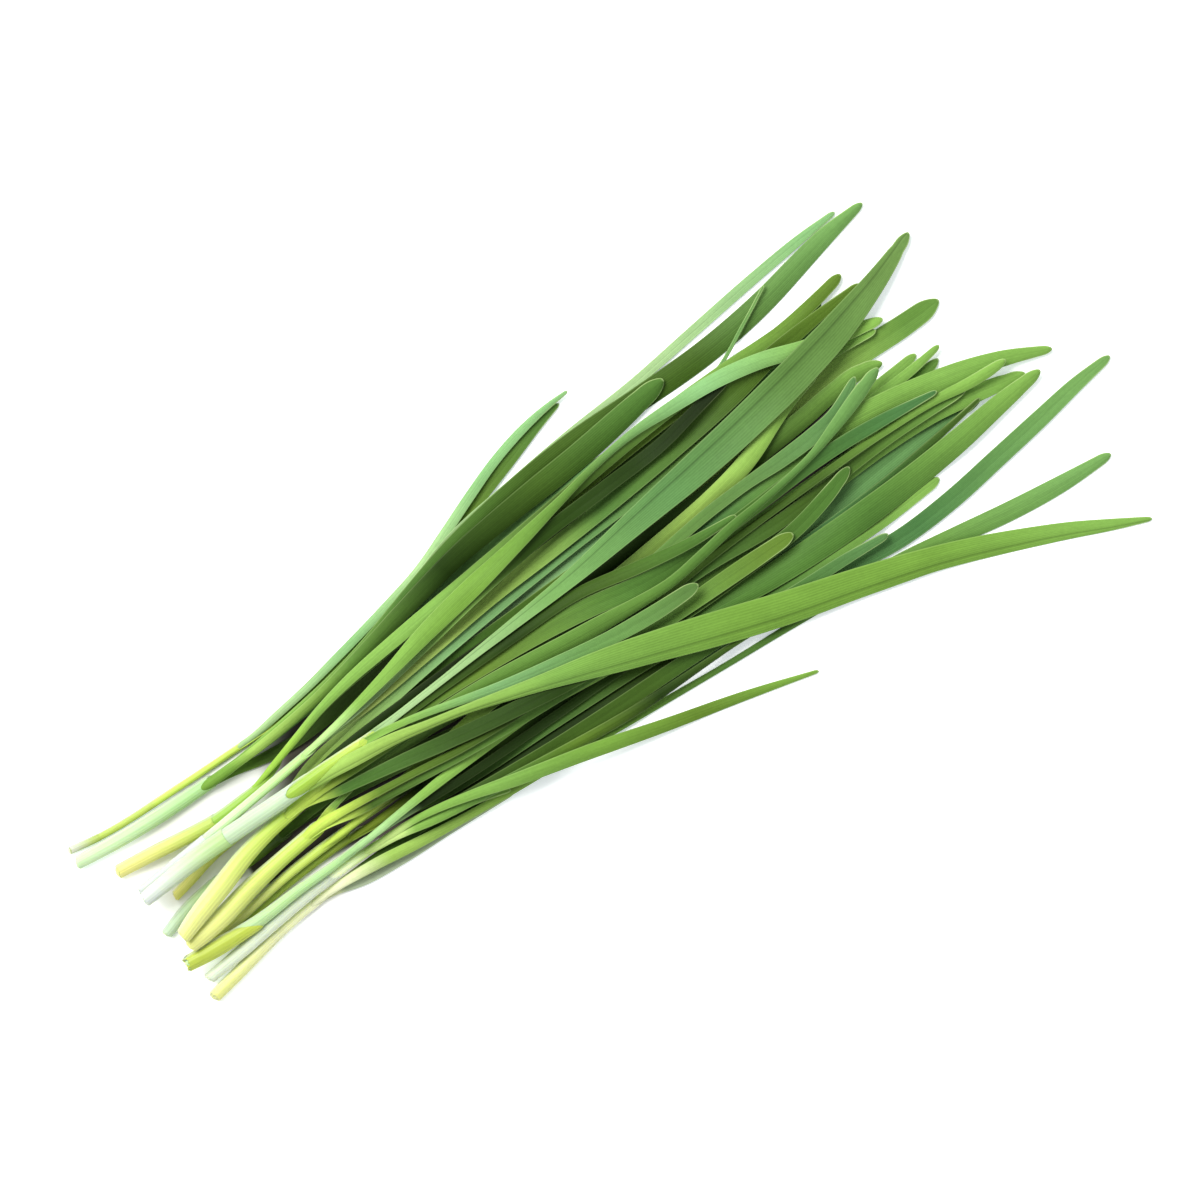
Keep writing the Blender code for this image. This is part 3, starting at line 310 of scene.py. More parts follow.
shoots["shoot_14"] = {
    "sheath": """-134 7.3 3.8, -125 8.1 4.4, -115 8.8 4.8, -105 8.9 4.9, -90 8.9 4.7, -75 9.4 3.8,
                -64 9.6 2.8""",
    "skins": [(-107, "milk", "pale", 0.6), (-84, "mintWhite", "mintWhite", 5.5),
              (None, "collar", "lime", 3)],
    "blades": [
        {"tones": "frost spring sea reed willow", "base": "frost", "crease": 0.36, "route": """
          -62 9.8 1.8, -50 10.6 1.8, -40 11.3 2, -30 12.1 2.4, -20 12.8 3, 0 14.4 4.4, 20 17 6.4,
          40 19.5 8.2, 60 22.5 9, 75 25.4 9, 90 29 8.2, 105 33.6 5.6, 118.5 39 2.6"""},
        {"tones": "leek mint spring reed", "base": "leek", "route": """
          -62 9 1.8, -50 7 1.9, -40 4.5 2.2, -30 2 2.8, -15 -1 3.6, 0 -3.4 4, 12 -4.4 4.2,
          25.5 -4.6 3.4"""},
        {"tones": "lime fresh grass grass fresh", "base": "lime", "crease": -0.42,
         "over": (0.5, -90, -72), "route": """
          -85 8.4 2.6, -78 8 3.4, -70 7.2 3.8, -60 6 3.4, -50 4 2.6, -40 1.9 2.6, -30 -0.7 3.4,
          -20 -3.4 4.5, -10 -6.2 6.3, 0 -9.2 7.9, 10 -12.3 8.6, 20 -15.5 9, 40 -21.8 9, 60 -27.2 8,
          80 -33.2 6.7, 100 -41 5.3, 110 -45.4 4.4, 120 -50.3 3, 129 -54.6 1.2"""},
    ],
}


def rowsOf(text):
    return [tuple(float(number) for number in point.split()) for point in text.split(",")]


for shoot in shoots.values():
    shoot["sheath"] = rowsOf(shoot["sheath"])
    for blade in shoot["blades"]:
        blade["route"] = rowsOf(blade["route"])
        blade["tones"] = blade["tones"].split()

# how the bunch lies: each piece is laid on those before it, and may touch its own sheath
settle = {
    "keel": 1.0,  # thickness that a lying blade takes up along its middle
    "margin": 0.62,  # and along its margins
    "channel": 0.08,  # depth of a blade's V, as a share of its width
    "sheathFlat": 0.86,  # height of a sheath, as a share of its width
    "mouth": 0.62,  # share of its width that a sheath keeps at its mouth
    "mouthRun": 3.0,  # and the run it narrows over
    "tipRun": 1.15,  # run over which a tip rounds off, as a share of its width
    "tipShape": (2.2, 0.62),  # how blunt it is, as two powers
    "tipLeast": 0.06,  # share of its width that a blade keeps at its very end
    "tipCalm": 1.6,  # run before the end, in tip widths, where a blade is no wider
    "tipSwell": 1.05,  # than this share of its tip
    "rootRun": 7.0,  # length of a blade inside its sheath
    "rootWidth": 0.55,  # the widest that it is there, as a share of the sheath's width
    "rootPitch": 0.30,  # rise from one sister's root to the next
    "rootStray": 0.75,  # furthest that a root may lie above its sheath's middle
    "fuseRun": 5.0,  # run over which the first sisters may touch
    "fuseStep": 5.0,  # and how much more each later one may
    "gap": 0.30,  # air between pieces that lie on each other
    "beside": 0.45,  # and beside their edges
    "slope": 0.16,  # steepest climb of a blade
    "sheathSlope": 0.14,  # and of a sheath
    "bridge": 5.0,  # half length that a piece bridges without dipping
    "leanFrom": 0.3,  # share across from which what it lies on tilts it
    "leanArm": 1.3,  # and the arm of that, as a share of its half width
    "rollLimit": math.radians(20),
    "rollRun": 14.0,  # reach over which the lean is evened out
    "thinnest": 0.2,  # least half width
    "step": 0.5,  # spacing of the samples along a piece
    "lateral": 0.35,  # and across it
    "cell": 0.4,  # side of the ground's cells
    "reach": (150.0, 62.0),  # of the ground, from its middle
    "tries": 8,
    "settled": 0.05,  # a root this close to its sheath stays
    "lowest": ("shoot_02", 0),  # its underside is flat on the surface
}
bare = -1000.0  # height of a cell with nothing on it


def smoothRoute(points):  # samples of a smooth curve through the points, and the run to each
    knots = np.array(points, float)
    chords = np.hypot(*np.diff(knots[:, :2], axis=0).T)
    slopes = np.diff(knots, axis=0) / chords[:, None]
    before, after = chords[:-1, None], chords[1:, None]
    inner = (after * slopes[:-1] + before * slopes[1:]) / (before + after)
    tangents = np.vstack([slopes[:1], inner, slopes[-1:]])
    pieces = []
    for i, chord in enumerate(chords):
        t = np.linspace(0, 1, max(2, round(chord / settle["step"])), endpoint=False)[:, None]
        near = (2 * t**3 - 3 * t**2 + 1) * knots[i] + (t**3 - 2 * t**2 + t) * chord * tangents[i]
        far = (3 * t**2 - 2 * t**3) * knots[i + 1] + (t**3 - t**2) * chord * tangents[i + 1]
        pieces.append(near + far)
    route = np.vstack(pieces + [knots[-1:]])
    run = np.concatenate([[0], np.cumsum(np.hypot(*np.diff(route[:, :2], axis=0).T))])
    return route, run


def readRoute(route, run, stations):
    return np.column_stack([np.interp(stations, run, route[:, k]) for k in range(route.shape[1])])


def evenRows(route, run):  # rows of (x, y, width) at even steps
    stations = np.linspace(0, run[-1], math.ceil(run[-1] / settle["step"]) + 1)
    return readRoute(route, run, stations), stations


def sheathStrip(points):
    rows, run = evenRows(*smoothRoute(points))
    fullWidth = rows[:, 2].copy()
    narrowing = np.clip(1 - (run[-1] - run) / settle["mouthRun"], 0, 1)
    rows[:, 2] *= 1 - (1 - settle["mouth"]) * narrowing
    strip = Strip(rows, run, sheathSection)
    strip.fullWidth = fullWidth
    return strip


def roundedTip(toTip, tipWidth):  # share of its width that a blade keeps this far from its tip
    away = np.clip(toTip / (settle["tipRun"] * tipWidth), 0, 1)
    blunt, full = settle["tipShape"]
    return np.maximum((1 - (1 - away) ** blunt) ** full, settle["tipLeast"])


def bladeRows(points, sheath):  # from the root inside the sheath to the tip
    sheathRoute, sheathRun = smoothRoute(sheath)
    away = np.hypot(sheathRoute[:, 0] - points[0][0], sheathRoute[:, 1] - points[0][1])
    leaves = min(sheathRun[np.argmin(away)], sheathRun[-1] - settle["mouthRun"])
    root = readRoute(sheathRoute, sheathRun, [leaves - settle["rootRun"]])[0]
    root[2] = min(points[0][2], settle["rootWidth"] * root[2])
    rows, run = evenRows(*smoothRoute([tuple(root)] + points))
    toTip = run[-1] - run
    body = rows[:, 2]
    tipWidth = np.interp(run[-1] - points[-1][2], run, body)
    calm = np.minimum(body, tipWidth * settle["tipSwell"])
    body = np.where(run > run[-1] - settle["tipCalm"] * tipWidth, calm, body)
    rows[:, 2] = body * roundedTip(toTip, tipWidth)
    return rows, run


def sheathSection(v, half):  # heights of top and underside over the centre, v = -1 to 1 across
    rise = settle["sheathFlat"] * half * np.sqrt(np.clip(1 - v**2, 0, 1))
    return rise, -rise


def bladeSection(v, half):
    side = np.minimum(np.abs(v), 1)
    middle = 2 * half * settle["channel"] * side
    thick = settle["keel"] + (settle["margin"] - settle["keel"]) * side
    return middle + thick / 2, middle - thick / 2


def flatSection(v, half):
    side = np.minimum(np.abs(v), 1)
    under = np.full_like(side * half, -settle["keel"] / 2)
    return under + settle["keel"] + (settle["margin"] - settle["keel"]) * side, under


class Heap:  # the highest point over each cell, for each group of pieces laid so far
    def __init__(self):
        self.shape = tuple(round(2 * reach / settle["cell"]) for reach in settle["reach"])
        self.tops = {}

    def cells(self, x, y):
        i, j = (((value + reach) / settle["cell"]).astype(int)
                for value, reach in zip((x, y), settle["reach"]))
        return np.clip(i, 0, self.shape[0] - 1), np.clip(j, 0, self.shape[1] - 1)

    def under(self, strip, without=()):
        i, j = self.cells(strip.x, strip.y)
        found = np.full(strip.x.shape, bare)
        for group, top in self.tops.items():
            if group not in without:
                found = np.maximum(found, top[i, j])
        return found

    def clear(self, name):
        self.tops = {group: top for group, top in self.tops.items() if group[0] != name}

    def add(self, group, x, y, z):
        top = self.tops.setdefault(group, np.full(self.shape, bare))
        np.maximum.at(top, self.cells(x, y), z)


class Strip:  # the ground that a piece covers: samples along it and across it
    def __init__(self, rows, run, section):
        self.run = run
        self.centre = rows[:, :2]
        self.width = rows[:, 2]
        self.half = np.maximum(self.width / 2, settle["thinnest"])
        columns = 2 * math.ceil((self.width.max() / 2 + settle["beside"]) / settle["lateral"]) + 1
        across = np.linspace(-1, 1, columns)
        self.v = across[None, :] * (1 + settle["beside"] / self.half[:, None])
        ahead = np.gradient(self.centre, axis=0)
        ahead /= np.linalg.norm(ahead, axis=1)[:, None]
        self.side = np.column_stack([-ahead[:, 1], ahead[:, 0]])
        offset = self.v * self.half[:, None]
        self.x = self.centre[:, :1] + offset * self.side[:, :1]
        self.y = self.centre[:, 1:] + offset * self.side[:, 1:]
        self.top, self.under = section(self.v, self.half[:, None])
        self.inside = np.abs(self.v) <= 1.0
        self.out = np.clip(self.v, -1, 1) * self.half[:, None]
        self.apart = np.abs(run[:, None] - run[None, :])

    def averaged(self, values, reach):
        near = self.apart <= reach
        return (near @ values) / near.sum(1)

    def bridged(self, need, slope):  # the lowest easy curve over what is needed
        tent = (need[None, :] - slope * self.apart).max(1)
        wide = np.where(self.apart <= settle["bridge"], tent[None, :], bare).max(1)
        return self.averaged(wide, settle["bridge"])

    def lean(self, support):  # how far it leans sideways on what it lies on
        ground = np.maximum(support, 0)
        left = np.where(self.v > settle["leanFrom"], ground, 0).max(1)
        right = np.where(self.v < -settle["leanFrom"], ground, 0).max(1)
        steep = np.arctan((left - right) / (settle["leanArm"] * self.half))
        steep = np.clip(steep, -settle["rollLimit"], settle["rollLimit"])
        return self.averaged(steep, settle["rollRun"])

    def needed(self, support, roll):  # lowest centre height that clears the support
        under = self.under + self.out * np.sin(roll)[:, None]
        return np.maximum((support + settle["gap"] - under).max(1), (-under).max(1))

    def nearest(self, point):  # the sample nearest to a point
        return np.argmin(np.hypot(*(self.centre - point).T))

    def record(self, heap, group, height, roll):
        top = height[:, None] + self.top * np.cos(roll)[:, None] + self.out * np.sin(roll)[:, None]
        heap.add(group, self.x[self.inside], self.y[self.inside], top[self.inside])


def laySheath(heap, name, strip, calls):  # each call is a point and the height wanted there
    level = np.zeros(len(strip.run))
    need = strip.needed(heap.under(strip), level)
    for point, height in calls:
        fall = settle["sheathSlope"] * strip.apart[strip.nearest(point)]
        need = np.maximum(need, height - fall)
    heights = strip.bridged(need, settle["sheathSlope"])
    strip.record(heap, (name, "sheath"), heights, level)
    return heights


def callOf(heap, strip, rise):  # how high a blade must start to clear what it lies on
    support = heap.under(strip)
    need = strip.needed(support, strip.lean(support))
    return strip.centre[0], (need - settle["slope"] * strip.run).max() - rise


def layBlade(heap, name, strip, root, fuseRun):
    strangers = heap.under(strip, ((name, "sheath"), (name, "blades")))
    everyone = heap.under(strip, ((name, "sheath"),))
    free = strip.run > settle["rootRun"] + fuseRun
    support = np.where(free[:, None], everyone, strangers)
    roll = strip.lean(support)
    need = np.maximum(strip.needed(support, roll), root - settle["slope"] * strip.run)
    heights = strip.bridged(need, settle["slope"])
    strip.record(heap, (name, "blades"), heights, roll)
    return heights, roll


def layShoot(heap, name, shoot):  # heights and leans, with every root inside its sheath
    count = len(shoot["blades"])
    rises = [(k - (count - 1) / 2) * settle["rootPitch"] for k in range(count)]
    strips = []
    for k, blade in enumerate(shoot["blades"]):
        section = flatSection if (name, k) == settle["lowest"] else bladeSection
        strips.append(Strip(*bladeRows(blade["route"], shoot["sheath"]), section))
    calls = [callOf(heap, strip, rise) for strip, rise in zip(strips, rises)]
    stem = sheathStrip(shoot["sheath"])
    for _ in range(settle["tries"]):
        heap.clear(name)
        stemHeights = laySheath(heap, name, stem, calls)
        laid, excess = [], []
        for k, (strip, rise) in enumerate(zip(strips, rises)):
            root = stemHeights[stem.nearest(strip.centre[0])]
            fuse = settle["fuseRun"] + settle["fuseStep"] * k
            heights, roll = layBlade(heap, name, strip, root + rise, fuse)
            laid.append((strip, heights, roll))
            excess.append(max(0, heights[0] - root - settle["rootStray"]))
        if max(excess) < settle["settled"]:
            break
        calls = [(point, height + more) for (point, height), more in zip(calls, excess)]
    return (stem, stemHeights), laid


heap = Heap()
lying = {name: layShoot(heap, name, shoot) for name, shoot in shoots.items()}
print("chives: bunch laid, top at", round(max(top.max() for top in heap.tops.values()), 1), "mm")


def operator(operation, reflected=False):  # the method of one sign, for a socket and a number
    def method(self, other):
        terms = (other, self) if reflected else (self, other)
        return self.net.maths(operation, *terms)
    return method


class Wire:  # a socket's value, which sums can be written with
    __add__, __radd__ = operator("ADD"), operator("ADD", True)
    __sub__, __rsub__ = operator("SUBTRACT"), operator("SUBTRACT", True)
    __mul__, __rmul__ = operator("MULTIPLY"), operator("MULTIPLY", True)
    __truediv__, __rtruediv__ = operator("DIVIDE"), operator("DIVIDE", True)
    __pow__, __rpow__ = operator("POWER"), operator("POWER", True)

    def __init__(self, net, socket):
        self.net, self.socket = net, socket

    def __abs__(self):
        return self.net.maths("ABSOLUTE", self)

    def of(self, name):  # another output of the same node
        return Wire(self.net, self.socket.node.outputs[name])


class Net:  # a node tree that is built by writing it down
    def __init__(self, tree):
        self.tree = tree
        tree.nodes.clear()

    def add(self, kind, settings=None, values=None, output=0):
        node = self.tree.nodes.new(kind)
        for name, value in (settings or {}).items():
            setattr(node, name, value)
        for key, value in (values or {}).items():
            if isinstance(value, Wire):
                self.tree.links.new(value.socket, node.inputs[key])
            else:
                node.inputs[key].default_value = value
        return Wire(self, node.outputs[output]) if len(node.outputs) else None

    def maths(self, operation, *terms):
        return self.add("ShaderNodeMath", {"operation": operation}, dict(enumerate(terms)))

    def vector(self, operation, *terms):
        return self.add("ShaderNodeVectorMath", {"operation": operation}, dict(enumerate(terms)))

    def scaled(self, vector, factor):
        return self.add("ShaderNodeVectorMath", {"operation": "SCALE"}, {0: vector, "Scale": factor})

    def combined(self, x, y, z=0.0):
        return self.add("ShaderNodeCombineXYZ", {}, {0: x, 1: y, 2: z})

    def ease(self, value, low, high, start=0.0, end=1.0):  # a smooth step from start to end
        return self.add("ShaderNodeMapRange", {"interpolation_type": "SMOOTHSTEP"},
                        {0: value, 1: low, 2: high, 3: start, 4: end})

    def mixed(self, factor, a, b):  # colours
        return self.add("ShaderNodeMix", {"data_type": "RGBA"}, {0: factor, 6: a, 7: b}, 2)

    def noise(self, place, detail, roughness, dimensions="2D"):  # patterns follow the surface
        return self.add("ShaderNodeTexNoise", {"noise_dimensions": dimensions},
                        {"Vector": place, "Scale": 1.0, "Detail": detail, "Roughness": roughness})


def geometryNet(name, inputs):  # a geometry tree with named inputs; gives the net and its inputs
    tree = bpy.data.node_groups.new(name, "GeometryNodeTree")
    net = Net(tree)
    tree.interface.new_socket("Geometry", in_out="INPUT", socket_type="NodeSocketGeometry")
    for label, kind in inputs.items():
        tree.interface.new_socket(label, in_out="INPUT", socket_type="NodeSocket" + kind)
    tree.interface.new_socket("Geometry", in_out="OUTPUT", socket_type="NodeSocketGeometry")
    return net, net.add("NodeGroupInput")


def named(net, label, kind="FLOAT"):  # an attribute of the guide
    return net.add("GeometryNodeInputNamedAttribute", {"data_type": kind}, {"Name": label})


def keep(net, geometry, label, value, kind="FLOAT"):
    return net.add("GeometryNodeStoreNamedAttribute", {"data_type": kind, "domain": "POINT"},
                   {"Geometry": geometry, "Name": label, "Value": value})


def finished(net, geometry, material):  # smooth, real, painted
    smooth = net.add("GeometryNodeSetShadeSmooth", {}, {"Geometry": geometry})
    real = net.add("GeometryNodeRealizeInstances", {}, {"Geometry": smooth})
    painted = net.add("GeometryNodeSetMaterial", {}, {"Geometry": real, "Material": material})
    net.add("NodeGroupOutput", {}, {"Geometry": painted})
    return net.tree


clearance = 0.02  # mm that every piece keeps from the floor


def sweepTree(name, inputs, section):
    # sweeps a closed section along every line of a guide; section gives its offsets to the left,
    # up and ahead from v and u, the cosine and sine round it
    net, given = geometryNet(name, {"Points Round": "Int", **inputs, "Material": "Material"})
    circle = net.add("GeometryNodeCurvePrimitiveCircle", {"mode": "RADIUS"},
                     {"Resolution": given.of("Points Round"), "Radius": 1.0})
    place = net.add("GeometryNodeInputPosition")
    profile = keep(net, circle, "round", place, "FLOAT_VECTOR")
    lines = net.add("GeometryNodeMeshToCurve", {}, {"Mesh": given.of("Geometry")})
    swept = net.add("GeometryNodeCurveToMesh", {},
                    {"Curve": lines, "Profile Curve": profile, "Fill Caps": True})
    turn = net.add("ShaderNodeSeparateXYZ", {}, {0: named(net, "round", "FLOAT_VECTOR")})
    v, u = turn.of("X"), turn.of("Y")
    centre, left, up = (named(net, label, "FLOAT_VECTOR") for label in ("centre", "left", "up"))
    out, rise, on = section(net, given, v, u)
    ahead = net.vector("CROSS_PRODUCT", left, up)
    offset = net.vector("ADD", net.scaled(left, out), net.scaled(up, rise))
    offset = net.vector("ADD", offset, net.scaled(ahead, on))
    spot = net.add("ShaderNodeSeparateXYZ", {}, {0: net.vector("ADD", centre, offset)})
    where = net.combined(spot, spot.of("Y"), net.maths("MAXIMUM", spot.of("Z"), clearance))
    shaped = net.add("GeometryNodeSetPosition", {},
                     {"Geometry": swept, "Position": net.scaled(where, mm)})
    shaped = keep(net, shaped, "side", v)
    shaped = keep(net, shaped, "top", u)
    return finished(net, shaped, given.of("Material"))


def guideOf(name, lines):  # one mesh of open lines; each line is a dictionary of rows
    mesh = bpy.data.meshes.new(name + "_guide")
    counts = [len(line["centre"]) for line in lines]
    starts = np.concatenate([[0], np.cumsum(counts)])
    edges = [(a + k, a + k + 1) for a, count in zip(starts, counts) for k in range(count - 1)]
    mesh.from_pydata([tuple(p * mm) for line in lines for p in line["centre"]], edges, [])
    for label in lines[0]:
        rows = np.concatenate([line[label] for line in lines])
        kind, field = ("FLOAT_VECTOR", "vector") if rows.ndim == 2 else ("FLOAT", "value")
        mesh.attributes.new(label, kind, "POINT").data.foreach_set(field, rows.ravel())
    guide = bpy.data.objects.new(name + "_guide", mesh)
    bpy.context.scene.collection.objects.link(guide)
    return guide


scrap = ("centre", "left", "up", "round", "curl", "channel", "slantUp", "slantSide", "fray")


def sweep(name, tree, values, lines):  # the finished mesh object of all the lines
    guide = guideOf(name, lines)
    grow = guide.modifiers.new("grow", "NODES")
    grow.node_group = tree
    ids = {item.name: item.identifier for item in tree.interface.items_tree
           if item.item_type == "SOCKET" and item.in_out == "INPUT"}
    for label, value in values.items():
        grow[ids[label]] = value
    evaluated = guide.evaluated_get(bpy.context.evaluated_depsgraph_get())
    mesh = bpy.data.meshes.new_from_object(evaluated)
    guide.modifiers.clear()
    bpy.data.objects.remove(guide)
    mesh.name = name
    for label in scrap:
        if label in mesh.attributes:
            mesh.attributes.remove(mesh.attributes[label])
    piece = bpy.data.objects.new(name, mesh)
    bpy.context.scene.collection.objects.link(piece)
    return piece


def screen(colour):
    return (*linear(colour), 1.0)


def attribute(net, label, output="Fac"):  # what the sweep left on the mesh
    return net.add("ShaderNodeAttribute", {"attribute_name": label}, {}, output)


def surface(net, constants, values):  # the shader and its output
    shader = net.add("ShaderNodeBsdfPrincipled", {}, {**constants, **values})
    net.add("ShaderNodeOutputMaterial", {}, {"Surface": shader})


def ridges(net, look, line, streak):  # what the fine lines do to the gloss
    smooth, rough = look["roughness"]
    bump = net.add("ShaderNodeBump", {}, {"Strength": look["bump"], "Distance": look["depth"],
                                          "Height": line * 0.5 + streak})
    return {"Roughness": smooth + streak * (rough - smooth), "Normal": bump}


def newNet(name):
    material = bpy.data.materials.new(name)
    material.use_nodes = True
    return material, Net(material.node_tree)


leafFinish = {
    "veins": 13.0,  # veins across half a blade
    "veinStray": 4,  # how far the streaks bend them
    "depth": 0.00004,  # of the veins, metres
    "bump": 0.6,
    "veinShade": 0.07,  # how strongly each pattern shows
    "streakShade": 0.22,
    "blotchShade": 0.28,
    "grainShade": 0.22,
    "streakRun": 0.02,  # how often it changes, in a mm of run and across the blade
    "blotchRun": 0.08,
    "blotchAcross": 1.1,
    "grainRun": 0.8,
    "grainAcross": 0.9,
    "rim": (214, 242, 168),  # tone of the thin pale margin, partly its own colour and partly a painted highlight
    "rimShare": 0.18,  # how strong it is along a blade
    "tipShare": 0.6,  # and round its tip
    "tipRun": (4.0, 14.0),  # as far from the tip as this, mm
    "rimRun": (0.34, 0.06),  # from its inner side to where it is full, mm
    "rimTint": (0.012, 0.085),  # paint of a dark blade and of a light one
    "rimDull": 0.25,  # and what a dark one has of the margin
    # painted shade: a blade is darker along its fold, on its upper side
    "foldReach": (0.13, 0.02),
    "foldPaintedShade": 0.30,
    "roughness": (0.34, 0.52),
    "specular": 0.05,
}


def leafMaterial():
    look = leafFinish
    material, net = newNet("leaf blade")
    side, top, run = attribute(net, "side"), attribute(net, "top"), attribute(net, "run")
    seed, toTip, width = attribute(net, "seed"), attribute(net, "toTip"), attribute(net, "width")
    # the factors of seed only keep the patterns of two blades apart
    place = net.combined(run * look["streakRun"], side * look["veins"] * 0.5 + seed * 37)
    streak = net.noise(place, 3.0, 0.6)
    place = net.combined(run * look["blotchRun"] + seed * 11, side * look["blotchAcross"] + seed * 5)
    blotch = net.noise(place, 4.0, 0.65)
    across = side * width * look["grainAcross"] + seed * 29
    grain = net.noise(net.combined(run * look["grainRun"], across), 2.0, 0.7)
    line = net.maths("SINE", side * (look["veins"] * math.pi) + streak * look["veinStray"])
    shade = 1 + (streak - 0.5) * look["streakShade"] + line * look["veinShade"]
    shade = shade + (blotch - 0.5) * look["blotchShade"] + (grain - 0.5) * look["grainShade"]
    # painted shade along the fold, on the blade's upper side only
    fold, strength = attribute(net, "fold"), attribute(net, "foldStrength")
    upside = net.ease(top, -0.1, 0.2)
    groove = net.ease(abs(side - fold), *look["foldReach"]) * strength * upside
    shade = shade * (1 - groove * look["foldPaintedShade"])
    colour = net.scaled(attribute(net, "tint", "Color"), shade)
    # the pale margin and the outline of the tip: partly the margin's own colour, partly a painted
    # highlight
    edge = net.maths("MINIMUM", (1 - abs(side)) * width * 0.5, toTip * 0.6)
    share = net.ease(toTip, *look["tipRun"], look["tipShare"], look["rimShare"])
    share = share * net.ease(attribute(net, "tint"), *look["rimTint"], look["rimDull"], 1.0)
    rim = net.ease(edge, *look["rimRun"]) * share
    colour = net.mixed(rim, colour, screen(look["rim"]))
    surface(net, {"Specular IOR Level": look["specular"]},
            {"Base Color": colour, **ridges(net, look, line, streak)})
    return material


sheathFinish = {
    "paintedHighlight": (250, 254, 240),  # painted highlight: the pale strip along the left side, where the light falls
    "highlightShare": 0.55,
    "highlightEdge": (0.5, 0.95),
    "lines": 16.0,  # round the stem
    "lineStray": 5,  # how far the streaks bend them
    "lineShade": 0.035,
    "depth": 0.00005,  # metres
    "bump": 0.5,
    "streakRun": 0.03,
    "streakAcross": 4.0,
    "streakShade": 0.42,
    "roughness": (0.36, 0.51),
    "specular": 0.3,
    "glow": 0.5,  # share of the light that passes on under the skin
    "glowTint": (1.0, 0.9, 0.4),
    "glowRun": 0.0012,  # metres
}


def sheathMaterial():
    look = sheathFinish
    material, net = newNet("sheath skin")
    side, top, run = attribute(net, "side"), attribute(net, "top"), attribute(net, "run")
    angle = net.maths("ARCTAN2", top, side)
    across = angle * look["streakAcross"] + attribute(net, "seed") * 37
    streak = net.noise(net.combined(run * look["streakRun"], across), 3.0, 0.6)
    line = net.maths("SINE", angle * look["lines"] + streak * look["lineStray"])
    shade = 1 + (streak - 0.5) * look["streakShade"] + line * look["lineShade"]
    colour = net.scaled(attribute(net, "tint", "Color"), shade)
    # painted highlight: a pale strip along the left side of each skin
    paintedHighlight = net.ease(side + (streak - 0.5) * 0.5, *look["highlightEdge"]) * look["highlightShare"]
    colour = net.mixed(paintedHighlight, colour, screen(look["paintedHighlight"]))
    surface(net, {"Specular IOR Level": look["specular"], "Subsurface Weight": look["glow"],
                  "Subsurface Radius": look["glowTint"], "Subsurface Scale": look["glowRun"]},
            {"Base Color": colour, **ridges(net, look, line, streak)})
    return material


leafSkin = leafMaterial()
sheathSkin = sheathMaterial()
print("chives: finishes made")

bladeForm = {
    "keel": 0.86,  # thickness along the middle, mm
    "margin": 0.30,  # and at the margins
    "thinning": 1.5,  # how fast it falls towards them
    "thickMost": 0.55,  # and the most that it is, as a share of the width
    "round": 0.55,  # how round the margins are
    "channel": 0.08,  # depth of the V, as a share of the width
    "soft": 0.1,  # and how soft its bend is
    "rib": 0.06,  # how far the keel stands out below, mm
    "ribMost": 0.06,  # and at most, as a share of the width
    "ribReach": 0.22,
    "ripple": 0.16,  # height of the waves along the margins, mm
    "rippleRun": 0.06,  # how often they change, in a mm of run and across the blade
    "rippleAcross": 0.7,
    "stationRun": 1.8,  # spacing of the sections, as far as this many tip widths from the end
    "tipCalm": 1.2,
    "tipStations": (0.85, 0.7, 0.55, 0.42, 0.3, 0.2, 0.12, 0.06, 0.02, 0.0),  # and from there on
    "pointsRound": 40,
    "baseShare": 0.95,  # width round the sheath's mouth, as a share of the sheath's
    "baseRun": 9.0,  # run over which the base opens out flat
    "baseCurl": 1.2,
    "tucked": 0.45,  # how far it sinks inside the sheath, mm
    "narrowed": 0.28,  # and narrows there, as a share of its width
    "tuckRun": 5.0,
    "overRun": (3.0, 18.0),  # run of the climb onto a sheath, and of the way down again
    "tipBack": 0.15,  # how far a tip stays back from its route's end, mm
    "tipLeast": 0.8,  # least width of a tip, mm
    "troughCurl": 0.10,  # bend of the open blade, upwards in a shoot's lower leaves, in radians
    "archCurl": 0.20,  # and downwards in its upper ones
    "curlDepth": 0.28,  # furthest that the bend may move a margin, mm
    "curlLeast": 0.4,
    "archLift": 0.12,
    "baseTone": 6.0,  # run over which a blade keeps the tone of its base
    "toneShares": (0.09, 0.95),  # shares of its length where its first and last tones are
    "keelFold": 0.3,  # how strongly the fold along a blade shows
    "markedFold": 1.0,  # and a marked one
    "foldDepth": 0.14,  # mm
    "foldMost": 0.05,  # and at most, as a share of the width
    "foldReach": 0.2,
    "foldSlope": 0.10,  # fall of a marked blade's strip past its fold
    "seed": 7,
}
bladeSizes = {"Keel": "keel", "Margin": "margin", "Rib": "rib", "Ripple": "ripple",
              "Fold Depth": "foldDepth", "Fold Slope": "foldSlope"}  # inputs of the tree


